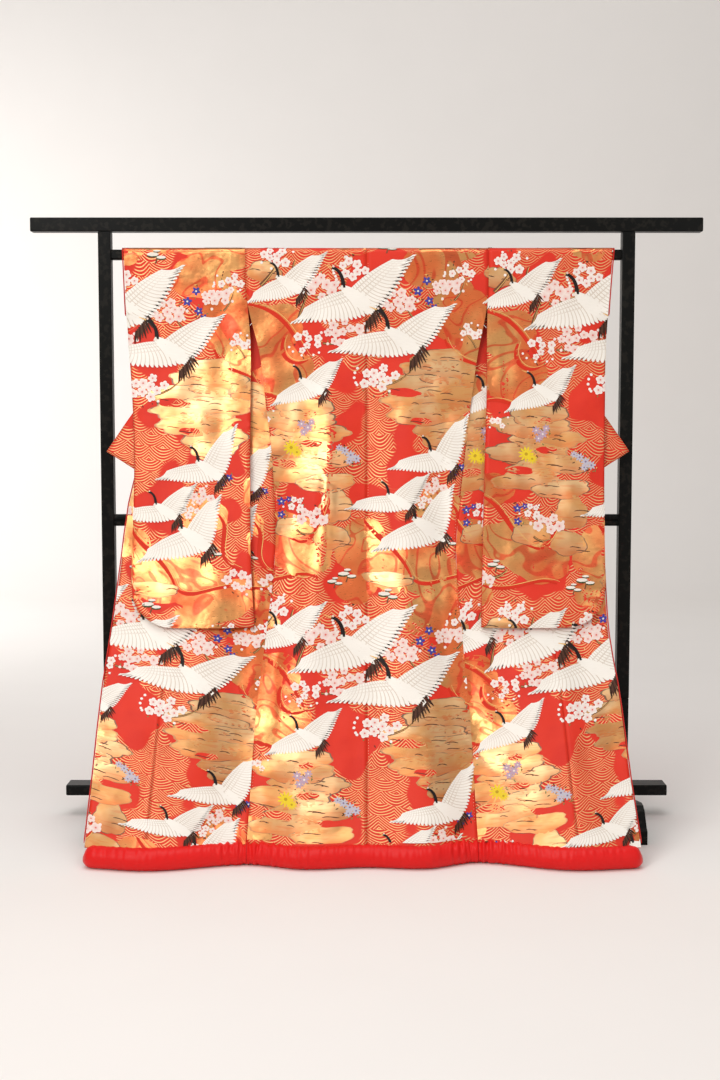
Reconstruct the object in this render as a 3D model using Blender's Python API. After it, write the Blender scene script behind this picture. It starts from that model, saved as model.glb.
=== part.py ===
"""Uchikake wedding kimono hung on a black lacquered kimono rack.

The robe hangs by its sleeves on the rack's rail with its back to -Y, its fronts opened out to
both sides with the brocade forward, and its padded hem on the floor. Metres, +Z up. The origin
is on the floor in the middle of the outer box. Cloth is worked out in the rail's own frame,
where Y = 0 is the middle of the rail: "depth" is the length of cloth below the top of the rail.
"""

import math

import bmesh
import bpy
from mathutils import Vector

# ---- driving sizes -------------------------------------------------------------------------
RAIL_Y = 0.1236            # the rack's plane, ahead of which the robe spreads
SEAM = 0.0003              # gap between neighbouring pieces

RACK_HEIGHT = 1.662
TOP_BAR = (1.840, 0.038, 0.038)
POST = (0.035, 0.036)
POST_OUTSIDE = 0.735       # half the distance over both posts
POST_JOINT_Z = 0.333       # where the upper post plugs into the foot post
RAIL = (0.024, 0.0280)     # hanging rail: front to back, height
RAIL_TOP = 1.5763
MIDDLE_RAIL = (0.033, 0.032)
MIDDLE_RAIL_TOP = 0.849
BOARD = (1.685, 0.066, 0.0295)
BOARD_TOP = 0.090
FOOT_WIDTH = 0.035
FOOT_HALF_LENGTH = 0.315

CLOTH_LENGTH = 1.640       # rail to the top of the hem roll, along the cloth
CLOTH_TOP = 1.5805         # middle of the cloth wall, over the rail
WRAP_DEPTH = 0.030         # cloth used to pass over the rail
WRAP_HALF = 0.0175         # rail middle to cloth, front to back
WRAP_DROP = 0.0125
TRAIL = 0.483              # how far the hem is drawn forward of the rail
TRAIL_POWER = 2.2
BROCADE = 0.0012           # wall thicknesses
LINING = 0.0010
LINED = 0.0018             # a lined wall made in one
LINING_SHIFT = -0.0018     # lining middle behind the brocade middle
LINING_INSET = 0.0012      # the linings of two panels stop this short of their seam

BACK_GAP = 0.040           # from the back to the fronts where both leave the rail
BACK_GAP_END = 0.60        # depth at which they have come together
EDGE_LAG = 0.25            # how much the outer edges stay behind the side seams
SLEEVE_CLEAR = 0.0065      # from the fronts to the sleeve that hangs over them
SHOULDER_CLEAR = 0.0075    # from an opened front to the stretch of it behind the rail
SLEEVE_OPEN = (0.033, 0.014)
SLEEVE_OPEN_END = 0.40
SLEEVE_LENGTH = 1.060
SLEEVE_CORNER = 0.110
CUFF_DEPTH = 0.215
ARM_JOIN_DEPTH = 0.165     # sleeve sewn to the body down to here, open below

NECK_HALF = 0.090
FOLD_SLOPE = math.tan(math.radians(24.0))   # fold of the front, off the vertical
FOLD_TUCK = 0.008          # how far the fold's low end sits behind the side seam
COLLAR_BULGE = 0.030
COLLAR_WIDTH = 0.100
OKUMI_SHARE = 0.385        # share of a front's width that is the overlap panel
OKUMI_POINT = 0.30         # share of the collar seam above the overlap panel's point
OKUMI_FIRST_ROW = 4
ROLL_HEIGHT = 0.055
ROLL_DEPTH = 0.058
ROLL_AHEAD = 0.006
PIPING = 0.0017            # radius

# Half width of the back at the side seams, or at the open edge above them.
SIDE_SEAM = (  # depth, left, right
    (0.000, 0.3330, 0.3330),
    (0.165, 0.3260, 0.3310),
    (0.310, 0.2920, 0.3040),
    (0.440, 0.2760, 0.2860),
    (0.600, 0.2570, 0.2670),
    (0.850, 0.2470, 0.2410),
    (1.090, 0.2690, 0.2550),
    (1.310, 0.2910, 0.2700),
    (1.640, 0.3010, 0.2790),
)
# Front edges from the collar's end to the hem.
FRONT_EDGE = (  # depth, left, right
    (0.630, 0.6280, 0.6360),
    (0.720, 0.6480, 0.6400),
    (0.900, 0.6660, 0.6420),
    (1.080, 0.6810, 0.6440),
    (1.240, 0.6940, 0.6600),
    (1.480, 0.7010, 0.6720),
    (1.640, 0.7030, 0.6800),
)
# Cross rows of an opened front: where each leaves the fold, and where it meets the collar seam.
COLLAR_ROWS = (  # depth at the fold, share of the collar seam
    (0.025, 0.03),
    (0.075, 0.16),
    (0.130, 0.30),
    (0.190, 0.46),
    (0.250, 0.62),
    (0.310, 0.75),
    (0.375, 0.88),
    (0.440, 1.00),
)
# The same below the collar's end: side seam to front edge.
SKIRT_ROWS = (  # depth at the side seam, depth at the front edge
    (0.440, 0.630),
    (0.600, 0.800),
    (0.800, 0.940),
    (1.000, 1.080),
    (1.200, 1.240),
    (1.400, 1.420),
    (1.640, 1.640),
)
# Half widths of the sleeves. Each inner edge is sewn to the body down to ARM_JOIN_DEPTH.
SLEEVE_EDGES = (  # depth, left inner, left outer, right inner, right outer
    (0.000, 0.3336, 0.6660, 0.3336, 0.6760),
    (0.165, 0.3266, 0.6600, 0.3316, 0.6640),
    (0.280, 0.3180, 0.6530, 0.3300, 0.6570),
    (0.420, 0.3170, 0.6420, 0.3290, 0.6530),
    (0.600, 0.3170, 0.6340, 0.3220, 0.6490),
    (0.860, 0.3120, 0.6340, 0.3120, 0.6440),
    (1.060, 0.2990, 0.6280, 0.3050, 0.6400),
)
# How the hem lies on the floor: forward (-) between the seams and drawn back (+) at them.
HEM_PLAN = (  # x, offset
    (-0.705, -0.002),
    (-0.540, -0.030),
    (-0.301, 0.024),
    (-0.160, -0.016),
    (0.000, 0.000),
    (0.150, -0.010),
    (0.279, 0.042),
    (0.500, -0.024),
    (0.685, -0.006),
)
# The largest soft folds: a rise below 0 is a ridge towards -Y.
FOLDS = (  # top x, top depth, low x, low depth, rise, reach
    (-0.085, 0.25, -0.165, 1.45, -0.016, 0.055),
    (-0.190, 0.55, -0.245, 1.30, 0.010, 0.045),
    (0.110, 0.30, 0.125, 1.50, -0.013, 0.060),
    (0.200, 0.60, 0.215, 1.35, 0.008, 0.040),
    (0.000, 0.20, 0.000, 1.40, 0.006, 0.045),
    (-0.420, 0.85, -0.450, 1.70, -0.012, 0.060),
    (-0.590, 0.90, -0.620, 1.70, 0.008, 0.050),
    (0.400, 0.85, 0.420, 1.70, -0.011, 0.060),
    (0.560, 0.90, 0.600, 1.70, 0.008, 0.050),
)
UPPER_DEPTHS = (0.001, 0.015, 0.030, 0.100, 0.165, 0.240, 0.310)
SKIRT_DEPTHS = (0.440, 0.520, 0.600, 0.700, 0.800, 0.900, 1.000, 1.100, 1.200, 1.300, 1.400, 1.520,
                1.640)
BACK_COLUMNS = 6
FRONT_COLUMNS = 4
OKUMI_COLUMNS = 2
SLEEVE_COLUMNS = (0.0, 0.18, 0.36, 0.54, 0.72, 0.87, 1.0)
SLEEVE_DEPTHS = (0.000, 0.015, 0.030, 0.100, 0.165, 0.215, 0.310, 0.440, 0.600, 0.740, 0.880, 0.980,
                 1.060)

SIDES = (("left", -1), ("right", 1))


# ---- small helpers -------------------------------------------------------------------------
def smooth(share):
    share = min(1.0, max(0.0, share))
    return share * share * (3.0 - 2.0 * share)


def lerp(first, last, share):
    return first + (last - first) * share


def read(rows, at, column):
    """Value of a column at a place in the first column, on a curve through the rows."""
    if at <= rows[0][0]:
        return rows[0][column]
    if at >= rows[-1][0]:
        return rows[-1][column]
    index = next(i for i in range(len(rows) - 1) if at <= rows[i + 1][0])
    start, stop = rows[index], rows[index + 1]
    before = rows[max(0, index - 1)]
    after = rows[min(len(rows) - 1, index + 2)]
    span = stop[0] - start[0]
    share = (at - start[0]) / span
    slope_in = (stop[column] - before[column]) / (stop[0] - before[0]) * span
    slope_out = (after[column] - start[column]) / (after[0] - start[0]) * span
    square, cube = share * share, share ** 3
    return ((2 * cube - 3 * square + 1) * start[column] + (cube - 2 * square + share) * slope_in
            + (3 * square - 2 * cube) * stop[column] + (cube - square) * slope_out)


def make_material(name, colour, roughness, metallic=0.0):
    material = bpy.data.materials.new(name)
    material.use_nodes = True
    shader = material.node_tree.nodes["Principled BSDF"]
    shader.inputs["Base Color"].default_value = (*colour, 1.0)
    shader.inputs["Roughness"].default_value = roughness
    shader.inputs["Metallic"].default_value = metallic
    return material


def add_object(name, mesh, material, parent):
    mesh.materials.append(material)
    mesh.shade_smooth()
    mesh.set_sharp_from_angle(angle=math.radians(35.0))
    piece = bpy.data.objects.new(name, mesh)
    bpy.context.collection.objects.link(piece)
    piece.parent = parent
    return piece


def mesh_from(solid, name):
    bmesh.ops.recalc_face_normals(solid, faces=solid.faces[:])
    mesh = bpy.data.meshes.new(name)
    solid.to_mesh(mesh)
    solid.free()
    return mesh


# ---- how the cloth hangs -------------------------------------------------------------------
def fall_table(step=0.01):
    """Height below the wrap for each step of depth, so that the cloth keeps its length."""
    heights = [0.0]
    while step * len(heights) <= CLOTH_LENGTH + step:
        middle = step * (len(heights) - 0.5) / CLOTH_LENGTH
        run = TRAIL * TRAIL_POWER / CLOTH_LENGTH * middle ** (TRAIL_POWER - 1.0)
        heights.append(heights[-1] + step * math.sqrt(1.0 - run * run))
    return heights


FALL_STEP = 0.01
FALL = fall_table(FALL_STEP)


def height(depth):
    if depth < WRAP_DEPTH:
        return CLOTH_TOP - WRAP_DROP * (1.0 - math.cos(math.pi / 2 * depth / WRAP_DEPTH))
    place = (depth - WRAP_DEPTH) / FALL_STEP
    index = min(int(place), len(FALL) - 2)
    return CLOTH_TOP - WRAP_DROP - lerp(FALL[index], FALL[index + 1], place - index)


def wrap(depth):
    return math.sin(math.pi / 2 * min(1.0, depth / WRAP_DEPTH))


def trail(depth):
    return TRAIL * (max(0.0, depth) / CLOTH_LENGTH) ** TRAIL_POWER


def ripples(x, depth):
    """Folds and the lie of the hem, shared by every layer so that none cuts another."""
    offset = read(HEM_PLAN, x, 1) * smooth((depth - 0.75) / (CLOTH_LENGTH - 0.75))
    for top_x, top, low_x, low, rise, reach in FOLDS:
        share = (depth - top) / (low - top)
        window = smooth(min(share, 1.0 - share) / 0.35)
        across = (x - lerp(top_x, low_x, share)) / reach
        offset += rise * window * math.exp(-across * across)
    return offset


def back_y(x, depth):
    return wrap(depth) * (-WRAP_HALF - trail(depth)) + ripples(x, depth)


def front_y(x, depth):
    """The opened fronts: behind the back at the rail, level with it at the side seams."""
    gap = BACK_GAP * (1.0 - smooth(depth / BACK_GAP_END))
    lag = EDGE_LAG * smooth((abs(x) - 0.27) / 0.38) * (1.0 - smooth((depth - 0.60) / 0.70))
    return -WRAP_HALF - trail(depth) * (1.0 - lag) + gap + ripples(x, depth)


def on_back(x, depth):
    return Vector((x, back_y(x, depth), height(depth)))


def on_front(x, depth):
    return Vector((x, front_y(x, depth), height(depth)))


def on_sleeve(x, depth, layer):
    """Layer 0 is the sleeve's outer face to -Y and layer 1 the one behind the rail."""
    opening = lerp(*SLEEVE_OPEN, smooth(depth / SLEEVE_OPEN_END))
    y = front_y(x, depth) - SLEEVE_CLEAR - opening * (1.0 - layer)
    return Vector((x, y * wrap(depth), height(depth)))


def column_of(side):
    return 1 if side < 0 else 2


def side_half(side, depth):
    return read(SIDE_SEAM, depth, column_of(side))


def edge_half(side, depth):
    return read(FRONT_EDGE, depth, column_of(side))


def collar_seam(side, share):
    """Half width and depth along the seam between a front and its collar, neck to end."""
    end_x, end_depth = edge_half(side, FRONT_EDGE[0][0]), FRONT_EDGE[0][0]
    run, drop = end_x - NECK_HALF, end_depth
    length = math.hypot(run, drop)
    bulge = COLLAR_BULGE * 4.0 * share * (1.0 - share)
    return NECK_HALF + run * share + bulge * drop / length, drop * share - bulge * run / length


def front_rows(side):
    """Ends of each cross row of an opened front, as (x, depth) pairs from fold to edge."""
    rows = []
    for depth, share in COLLAR_ROWS[:-1]:
        fold = (NECK_HALF + FOLD_SLOPE * depth, depth)
        rows.append((fold, collar_seam(side, share), share))
    for depth in SKIRT_DEPTHS:
        edge_depth = read(SKIRT_ROWS, depth, 1)
        tuck = FOLD_TUCK * (1.0 - smooth((depth - SKIRT_DEPTHS[0]) / 0.08))
        fold = (side_half(side, depth) + SEAM - tuck, depth)
        rows.append((fold, (edge_half(side, edge_depth), edge_depth), 1.0))
    return rows


# ---- walls ---------------------------------------------------------------------------------
def grid_faces(row_count, column_count, flip):
    faces = []
    for row in range(row_count - 1):
        for column in range(column_count - 1):
            first = row * column_count + column
            face = (first, first + column_count, first + column_count + 1, first + 1)
            faces.append(face[::-1] if flip else face)
    return faces


def wall(name, points, faces, thickness, shift=0.0):
    """A closed wall round a middle surface. Shift moves it along the surface's own normals."""
    middle = bmesh.new()
    for point in points:
        middle.verts.new(point)
    middle.verts.ensure_lookup_table()
    for face in faces:
        middle.faces.new([middle.verts[i] for i in face])
    bmesh.ops.triangulate(middle, faces=middle.faces[:])
    middle.normal_update()
    middle.verts.index_update()
    solid = bmesh.new()
    half = thickness / 2.0
    outer = [solid.verts.new(v.co + v.normal * (shift + half)) for v in middle.verts]
    inner = [solid.verts.new(v.co + v.normal * (shift - half)) for v in middle.verts]
    for face in middle.faces:
        ring = [v.index for v in face.verts]
        solid.faces.new([outer[i] for i in ring])
        solid.faces.new([inner[i] for i in reversed(ring)])
    for edge in middle.edges:
        if edge.is_boundary:
            loop = edge.link_loops[0]
            start, stop = loop.vert.index, loop.link_loop_next.vert.index
            solid.faces.new((outer[stop], outer[start], inner[start], inner[stop]))
    bmesh.ops.triangulate(solid, faces=solid.faces[:])
    middle.free()
    return mesh_from(solid, name)


def sheet(name, rows, side, thickness, material, parent, shift=0.0):
    """Wall over rows of points that run from the middle of the robe outwards."""
    points = [point for row in rows for point in row]
    faces = grid_faces(len(rows), len(rows[0]), side < 0)
    return add_object(name, wall(name, points, faces, thickness, shift), material, parent)


def tube(name, centres, sizes, sides, material, parent, floor=None):
    """Closed tube through centres. Sizes are half depth and half height at each centre.

    With a floor, the sections stand square to X and none reaches below it.
    """
    solid = bmesh.new()
    rings = []
    for index, centre in enumerate(centres):
        before, after = centres[max(0, index - 1)], centres[min(len(centres) - 1, index + 1)]
        along = (after - before).normalized() if floor is None else Vector((1.0, 0.0, 0.0))
        up = Vector((0.0, 0.0, 1.0)) if abs(along.z) < 0.9 else Vector((0.0, 1.0, 0.0))
        across = along.cross(up).normalized()
        up = across.cross(along).normalized()
        ring = []
        for step in range(sides):
            angle = 2.0 * math.pi * (step + 0.5) / sides
            point = centre + across * (sizes[index][0] * math.cos(angle))
            point += up * (sizes[index][1] * math.sin(angle))
            if floor is not None:
                point.z = max(floor, point.z)
            ring.append(solid.verts.new(point))
        rings.append(ring)
    for first, second in zip(rings, rings[1:]):
        for step in range(sides):
            after = (step + 1) % sides
            solid.faces.new((first[step], first[after], second[after], second[step]))
    solid.faces.new(rings[0])
    solid.faces.new(rings[-1])
    bmesh.ops.triangulate(solid, faces=solid.faces[:])
    return add_object(name, mesh_from(solid, name), material, parent)


# ---- the robe ------------------------------------------------------------------------------
def back_rows(side):
    rows = []
    for depth in UPPER_DEPTHS + SKIRT_DEPTHS:
        half = side_half(side, depth)
        shares = [i / (BACK_COLUMNS - 1) for i in range(BACK_COLUMNS)]
        rows.append([on_back(side * lerp(SEAM / 2, half, share), depth) for share in shares])
    return rows


def build_backs(brocade, parent):
    for word, side in SIDES:
        sheet("back_" + word, back_rows(side), side, BROCADE, brocade, parent)


def build_back_lining(cloth, parent):
    left = [row[:0:-1] for row in back_rows(-1)]
    right = back_rows(1)
    rows = []
    for depth_index, depth in enumerate(UPPER_DEPTHS + SKIRT_DEPTHS):
        if depth < WRAP_DEPTH:
            continue
        rows.append(left[depth_index] + [on_back(0.0, depth)] + right[depth_index][1:])
    inset = 0.004
    for row in rows:
        row[0].x += inset
        row[-1].x -= inset
    sheet("lining_back", rows, 1, LINING, cloth, parent, LINING_SHIFT)


def front_grid(side):
    """All points of an opened front, fold to edge, and the columns of its two panels."""
    columns = FRONT_COLUMNS + OKUMI_COLUMNS
    grid = []
    for (fold_x, fold_depth), (edge_x, edge_depth), share in front_rows(side):
        split = 1.0 - OKUMI_SHARE * smooth((share - OKUMI_POINT) / (1.0 - OKUMI_POINT))
        row = []
        for column in range(columns + 1):
            if column <= FRONT_COLUMNS:
                place = split * column / FRONT_COLUMNS
            else:
                place = lerp(split, 1.0, (column - FRONT_COLUMNS) / OKUMI_COLUMNS)
            x = side * lerp(fold_x, edge_x, place)
            row.append(on_front(x, lerp(fold_depth, edge_depth, place)))
        grid.append(row)
    return grid


def pull_in(rows, index, towards, distance):
    """Moves one column of points a little towards a neighbouring column."""
    for row in rows:
        way = row[towards] - row[index]
        row[index] = row[index] + way.normalized() * distance


def build_fronts(brocade, lining, parent):
    for word, side in SIDES:
        grid = front_grid(side)
        layers = (
            ("", BROCADE, SEAM / 2, 0.0, brocade),
            ("lining_", LINING, LINING_INSET, LINING_SHIFT, lining),
        )
        for prefix, thickness, inset, shift, material in layers:
            front = [row[:FRONT_COLUMNS + 1] for row in grid]
            pull_in(front, -1, -2, inset)
            sheet(prefix + "front_" + word, front, side, thickness, material, parent, shift)
            okumi = [list(row[FRONT_COLUMNS:]) for row in grid[OKUMI_FIRST_ROW:]]
            pull_in(okumi, 0, 1, inset)
            sheet(prefix + "okumi_" + word, okumi, side, thickness, material, parent, shift)


def build_front_shoulders(brocade, parent):
    """The stretch of each front between the rail and its fold, brocade to +Y."""
    for word, side in SIDES:
        rows = []
        for depth in UPPER_DEPTHS:
            fold = NECK_HALF + FOLD_SLOPE * depth
            half = side_half(side, depth)
            row = []
            for column in range(4):
                x = side * lerp(fold, half, column / 3)
                y = wrap(depth) * (front_y(x, max(depth, WRAP_DEPTH)) - SHOULDER_CLEAR)
                row.append(Vector((x, y, height(depth))))
            rows.append(row)
        sheet("front_shoulder_" + word, rows, -side, LINED, brocade, parent)


def build_collars(brocade, parent):
    """A band outside each collar seam. It is folded narrow at the neck and opens out."""
    for word, side in SIDES:
        rows = []
        for _, share in COLLAR_ROWS:
            x, depth = collar_seam(side, share)
            ahead, behind = collar_seam(side, min(1.0, share + 0.02)), collar_seam(side, share - 0.02)
            run, drop = ahead[0] - behind[0], ahead[1] - behind[1]
            length = math.hypot(run, drop)
            across = (drop / length, -run / length)
            room = max(0.012, (depth - 0.002) / max(0.1, -across[1]))
            width = min(COLLAR_WIDTH, room)
            row = []
            for column in range(4):
                far = lerp(0.0009, width, column / 3)
                row.append(on_front(side * (x + across[0] * far), depth + across[1] * far))
            rows.append(row)
        sheet("collar_" + word, rows, side, LINED, brocade, parent)


def build_neck_collar(brocade, parent):
    """The collar across the back of the neck, hanging folded behind the rail."""
    rows = []
    half = NECK_HALF - 0.002
    for depth in (0.004, 0.016, 0.030, 0.048, 0.064):
        row = []
        for column in range(9):
            x = lerp(-half, half, column / 8)
            sag = 0.010 * (1.0 - (x / half) ** 2) * smooth(depth / 0.064)
            y = wrap(depth) * (WRAP_HALF + 0.0005)
            row.append(Vector((x, y + SEAM * 2 + BROCADE, height(depth + sag))))
        rows.append(row)
    sheet("collar_neck", rows, -1, LINED, brocade, parent)


def sleeve_edges(side, depth):
    first = 1 if side < 0 else 3
    inner = read(SLEEVE_EDGES, depth, first)
    if depth <= ARM_JOIN_DEPTH:
        inner = side_half(side, depth) + 2 * SEAM
    return inner, read(SLEEVE_EDGES, depth, first + 1)


def sleeve_point(side, share, depth, layer):
    """Rounds the sleeve's lower outer corner by drawing the depths up near it."""
    inner, outer = sleeve_edges(side, SLEEVE_LENGTH)
    into_corner = (outer - inner) * (share - 1.0) + SLEEVE_CORNER
    rise = 0.0
    if into_corner > 0.0:
        rise = SLEEVE_CORNER - math.sqrt(max(0.0, SLEEVE_CORNER ** 2 - into_corner ** 2))
    if depth > CUFF_DEPTH:
        fall = (depth - CUFF_DEPTH) / (SLEEVE_LENGTH - CUFF_DEPTH)
        depth = CUFF_DEPTH + fall * (SLEEVE_LENGTH - rise - CUFF_DEPTH)
    inner, outer = sleeve_edges(side, depth)
    return on_sleeve(side * lerp(inner, outer, share), depth, layer)


def build_sleeves(brocade, parent):
    """Each sleeve is a flat bag over the rail, open at the cuff and along its inner edge."""
    for word, side in SIDES:
        points, index_of = [], {}
        last = len(SLEEVE_DEPTHS) - 1
        for layer in (0, 1):
            for row, depth in enumerate(SLEEVE_DEPTHS):
                for column, share in enumerate(SLEEVE_COLUMNS):
                    below_cuff = share == 1.0 and depth >= CUFF_DEPTH
                    closed = row in (0, last) or below_cuff
                    if layer == 1 and closed:
                        index_of[layer, row, column] = index_of[0, row, column]
                        continue
                    blend = 0.5 if closed and row else layer
                    index_of[layer, row, column] = len(points)
                    points.append(sleeve_point(side, share, depth, blend))
        faces = []
        for layer in (0, 1):
            for row in range(last):
                for column in range(len(SLEEVE_COLUMNS) - 1):
                    ring = [index_of[layer, row, column], index_of[layer, row + 1, column],
                            index_of[layer, row + 1, column + 1], index_of[layer, row, column + 1]]
                    flip = (side < 0) != (layer == 1)
                    faces.append(ring[::-1] if flip else ring)
        name = "sleeve_" + word
        add_object(name, wall(name, points, faces, LINED), brocade, parent)


def build_pipings(cloth, parent):
    """Rolled lining edges: round each cuff opening and down each front edge."""
    for word, side in SIDES:
        reach = LINED / 2 + SEAM + PIPING
        route = [(depth, 0) for depth in (0.210, 0.120, 0.060, 0.030, 0.014)]
        route += [(0.0, 0)] + [(depth, 1) for depth, layer in reversed(route)]
        centres = []
        for depth, layer in route:
            centre = sleeve_point(side, 1.0, depth, layer)
            centre.x += side * reach
            centres.append(centre)
        tube("cuff_" + word, centres, [(PIPING, PIPING)] * len(centres), 6, cloth, parent)
        centres = []
        for row in front_grid(side)[len(COLLAR_ROWS) - 1:]:
            way = (row[-1] - row[-2]).normalized()
            centres.append(row[-1] + way * reach)
        tube("front_edge_" + word, centres, [(PIPING, PIPING)] * len(centres), 6, cloth, parent)


def build_hem_rolls(cloth, parent):
    """The padded hem in three lengths, one for the back and one for each front."""
    left_seam, right_seam = side_half(-1, CLOTH_LENGTH), side_half(1, CLOTH_LENGTH)
    left_edge, right_edge = edge_half(-1, CLOTH_LENGTH), edge_half(1, CLOTH_LENGTH)
    stretches = (
        ("hem_roll_left", -left_edge - 0.004, -left_seam - SEAM, 9, 0.50, 0.94),
        ("hem_roll_back", -left_seam + SEAM, right_seam - SEAM, 12, 0.94, 0.93),
        ("hem_roll_right", right_seam + SEAM, right_edge + 0.004, 9, 0.93, 0.50),
    )
    for name, start, stop, count, start_size, stop_size in stretches:
        centres, sizes = [], []
        for step in range(count):
            share = step / (count - 1)
            x = lerp(start, stop, 0.5 - 0.5 * math.cos(math.pi * share))
            near_start = 1.0 - smooth((x - start) / 0.045)
            near_stop = 1.0 - smooth((stop - x) / 0.045)
            size = 1.0 - (1.0 - start_size) * near_start - (1.0 - stop_size) * near_stop
            centres.append(Vector((x, back_y(x, CLOTH_LENGTH) - ROLL_AHEAD, ROLL_HEIGHT * size / 2)))
            sizes.append((ROLL_DEPTH * size / 2, ROLL_HEIGHT * size / 2 / math.cos(math.pi / 12)))
        tube(name, centres, sizes, 12, cloth, parent, floor=0.0)


# ---- the rack ------------------------------------------------------------------------------
def block(name, size, centre, material, parent, bevel=0.002):
    solid = bmesh.new()
    bmesh.ops.create_cube(solid, size=1.0)
    bmesh.ops.scale(solid, vec=Vector(size), verts=solid.verts[:])
    mesh = mesh_from(solid, name)
    piece = add_object(name, mesh, material, parent)
    piece.location = centre
    rounding = piece.modifiers.new("rounding", "BEVEL")
    rounding.width = bevel
    rounding.segments = 2
    return piece


def extrusion(name, outline, span, material, parent, centre):
    """An outline of (y, z) points drawn out along X."""
    solid = bmesh.new()
    near = [solid.verts.new((-span / 2, y, z)) for y, z in outline]
    far = [solid.verts.new((span / 2, y, z)) for y, z in outline]
    solid.faces.new(near)
    solid.faces.new(far)
    for index in range(len(outline)):
        after = (index + 1) % len(outline)
        solid.faces.new((near[index], near[after], far[after], far[index]))
    piece = add_object(name, mesh_from(solid, name), material, parent)
    piece.location = centre
    return piece


def rail_outline(depth, tall, cut, groove):
    """A rail's section: cut corners and, where groove > 0, a shallow line along both faces."""
    half, top = depth / 2, tall / 2
    outline = [(-half + cut, -top), (half - cut, -top), (half, -top + cut)]
    if groove > 0.0:
        outline += [(half, -groove), (half - groove, 0.0), (half, groove)]
    outline += [(half, top - cut), (half - cut, top), (-half + cut, top), (-half, top - cut)]
    if groove > 0.0:
        outline += [(-half, groove), (-half + groove, 0.0), (-half, -groove)]
    return outline + [(-half, -top + cut)]


def foot_outline(board_under):
    """Side of a foot: low square toe, raised shoulder, saddle under the board."""
    half = [(-FOOT_HALF_LENGTH, 0.0), (-FOOT_HALF_LENGTH, 0.035), (-0.303, 0.042)]
    half += [(-0.272, 0.078), (-0.250, 0.089), (-0.225, 0.090), (-0.120, 0.072)]
    half += [(-0.070, board_under)]
    return half + [(-y, z) for y, z in reversed(half)]


def build_rack(lacquer, parent):
    bar_under = RACK_HEIGHT - TOP_BAR[2]
    board_under = BOARD_TOP - BOARD[2]
    block("top_bar", TOP_BAR, (0.0, 0.0, RACK_HEIGHT - TOP_BAR[2] / 2), lacquer, parent, 0.003)
    block("board", BOARD, (0.0, 0.0, BOARD_TOP - BOARD[2] / 2), lacquer, parent, 0.003)
    inside = POST_OUTSIDE - POST[0]
    rail_span = 2 * (inside - SEAM)
    rail_z = RAIL_TOP - RAIL[1] / 2
    outline = rail_outline(*RAIL, 0.005, 0.0)
    extrusion("hanging_rail", outline, rail_span, lacquer, parent, (0.0, 0.0, rail_z))
    outline = rail_outline(*MIDDLE_RAIL, 0.006, 0.0025)
    middle_z = MIDDLE_RAIL_TOP - MIDDLE_RAIL[1] / 2
    extrusion("middle_rail", outline, rail_span, lacquer, parent, (0.0, 0.0, middle_z))
    for word, side in SIDES:
        x = side * (POST_OUTSIDE - POST[0] / 2)
        low, joint, high = BOARD_TOP + SEAM, POST_JOINT_Z, bar_under - SEAM
        upper = (*POST, high - joint - SEAM)
        block("post_" + word, upper, (x, 0.0, (high + joint + SEAM) / 2), lacquer, parent)
        lower = (POST[0] - 0.001, POST[1] - 0.001, joint - low)
        block("foot_post_" + word, lower, (x, 0.0, (joint + low) / 2), lacquer, parent)
        outline = foot_outline(board_under - SEAM)
        extrusion("foot_" + word, outline, FOOT_WIDTH, lacquer, parent, (x, 0.0, 0.0))


def main():
    for piece in list(bpy.data.objects):
        bpy.data.objects.remove(piece, do_unlink=True)
    stand = bpy.data.objects.new("rail_frame", None)
    bpy.context.collection.objects.link(stand)
    stand.location = (0.0, RAIL_Y, 0.0)
    brocade = make_material("brocade", (0.80, 0.16, 0.06), 0.38, 0.25)
    lining = make_material("red_lining", (0.55, 0.02, 0.02), 0.45)
    lacquer = make_material("black_lacquer", (0.010, 0.010, 0.011), 0.32)
    build_backs(brocade, stand)
    build_back_lining(lining, stand)
    build_fronts(brocade, lining, stand)
    build_front_shoulders(brocade, stand)
    build_collars(brocade, stand)
    build_neck_collar(brocade, stand)
    build_sleeves(brocade, stand)
    build_pipings(lining, stand)
    build_hem_rolls(lining, stand)
    build_rack(lacquer, stand)


main()
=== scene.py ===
"""Looks of an uchikake wedding kimono that hangs, back forward, on a black lacquered rack.

Every cloth piece is a thin shell over its CAD solid's own form, worked out on a fine grid. The
woven figures (cranes, blossom, gold clouds, streams) are drawn in the flat cloth, cut off at the
edges of each panel, and then laid on the panel's grid a fraction of a millimetre above it.
"""

import bisect
import math
import random

import bpy
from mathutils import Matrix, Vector


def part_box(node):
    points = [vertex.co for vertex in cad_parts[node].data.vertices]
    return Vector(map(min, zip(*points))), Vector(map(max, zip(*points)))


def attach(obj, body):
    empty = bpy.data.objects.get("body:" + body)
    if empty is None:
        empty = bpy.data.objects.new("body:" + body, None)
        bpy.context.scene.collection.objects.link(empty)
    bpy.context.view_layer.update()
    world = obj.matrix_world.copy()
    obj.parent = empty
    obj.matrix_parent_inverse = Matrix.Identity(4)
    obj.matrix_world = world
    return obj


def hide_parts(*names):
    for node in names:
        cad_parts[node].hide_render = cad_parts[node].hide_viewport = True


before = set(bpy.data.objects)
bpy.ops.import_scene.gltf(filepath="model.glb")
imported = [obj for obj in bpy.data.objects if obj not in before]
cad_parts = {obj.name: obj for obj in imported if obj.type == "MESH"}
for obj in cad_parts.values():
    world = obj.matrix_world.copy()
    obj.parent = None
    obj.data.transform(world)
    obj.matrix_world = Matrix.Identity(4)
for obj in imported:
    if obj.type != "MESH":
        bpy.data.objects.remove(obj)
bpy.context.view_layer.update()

# ---- sizes that the CAD model has, in metres -------------------------------------------------
RAIL_LOW, RAIL_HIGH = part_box("hanging_rail")
RAIL_Y = (RAIL_LOW.y + RAIL_HIGH.y) / 2
SEAM = 0.0003
CLOTH_LENGTH = 1.640
CLOTH_TOP = 1.5805
WRAP_DEPTH = 0.030
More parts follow.
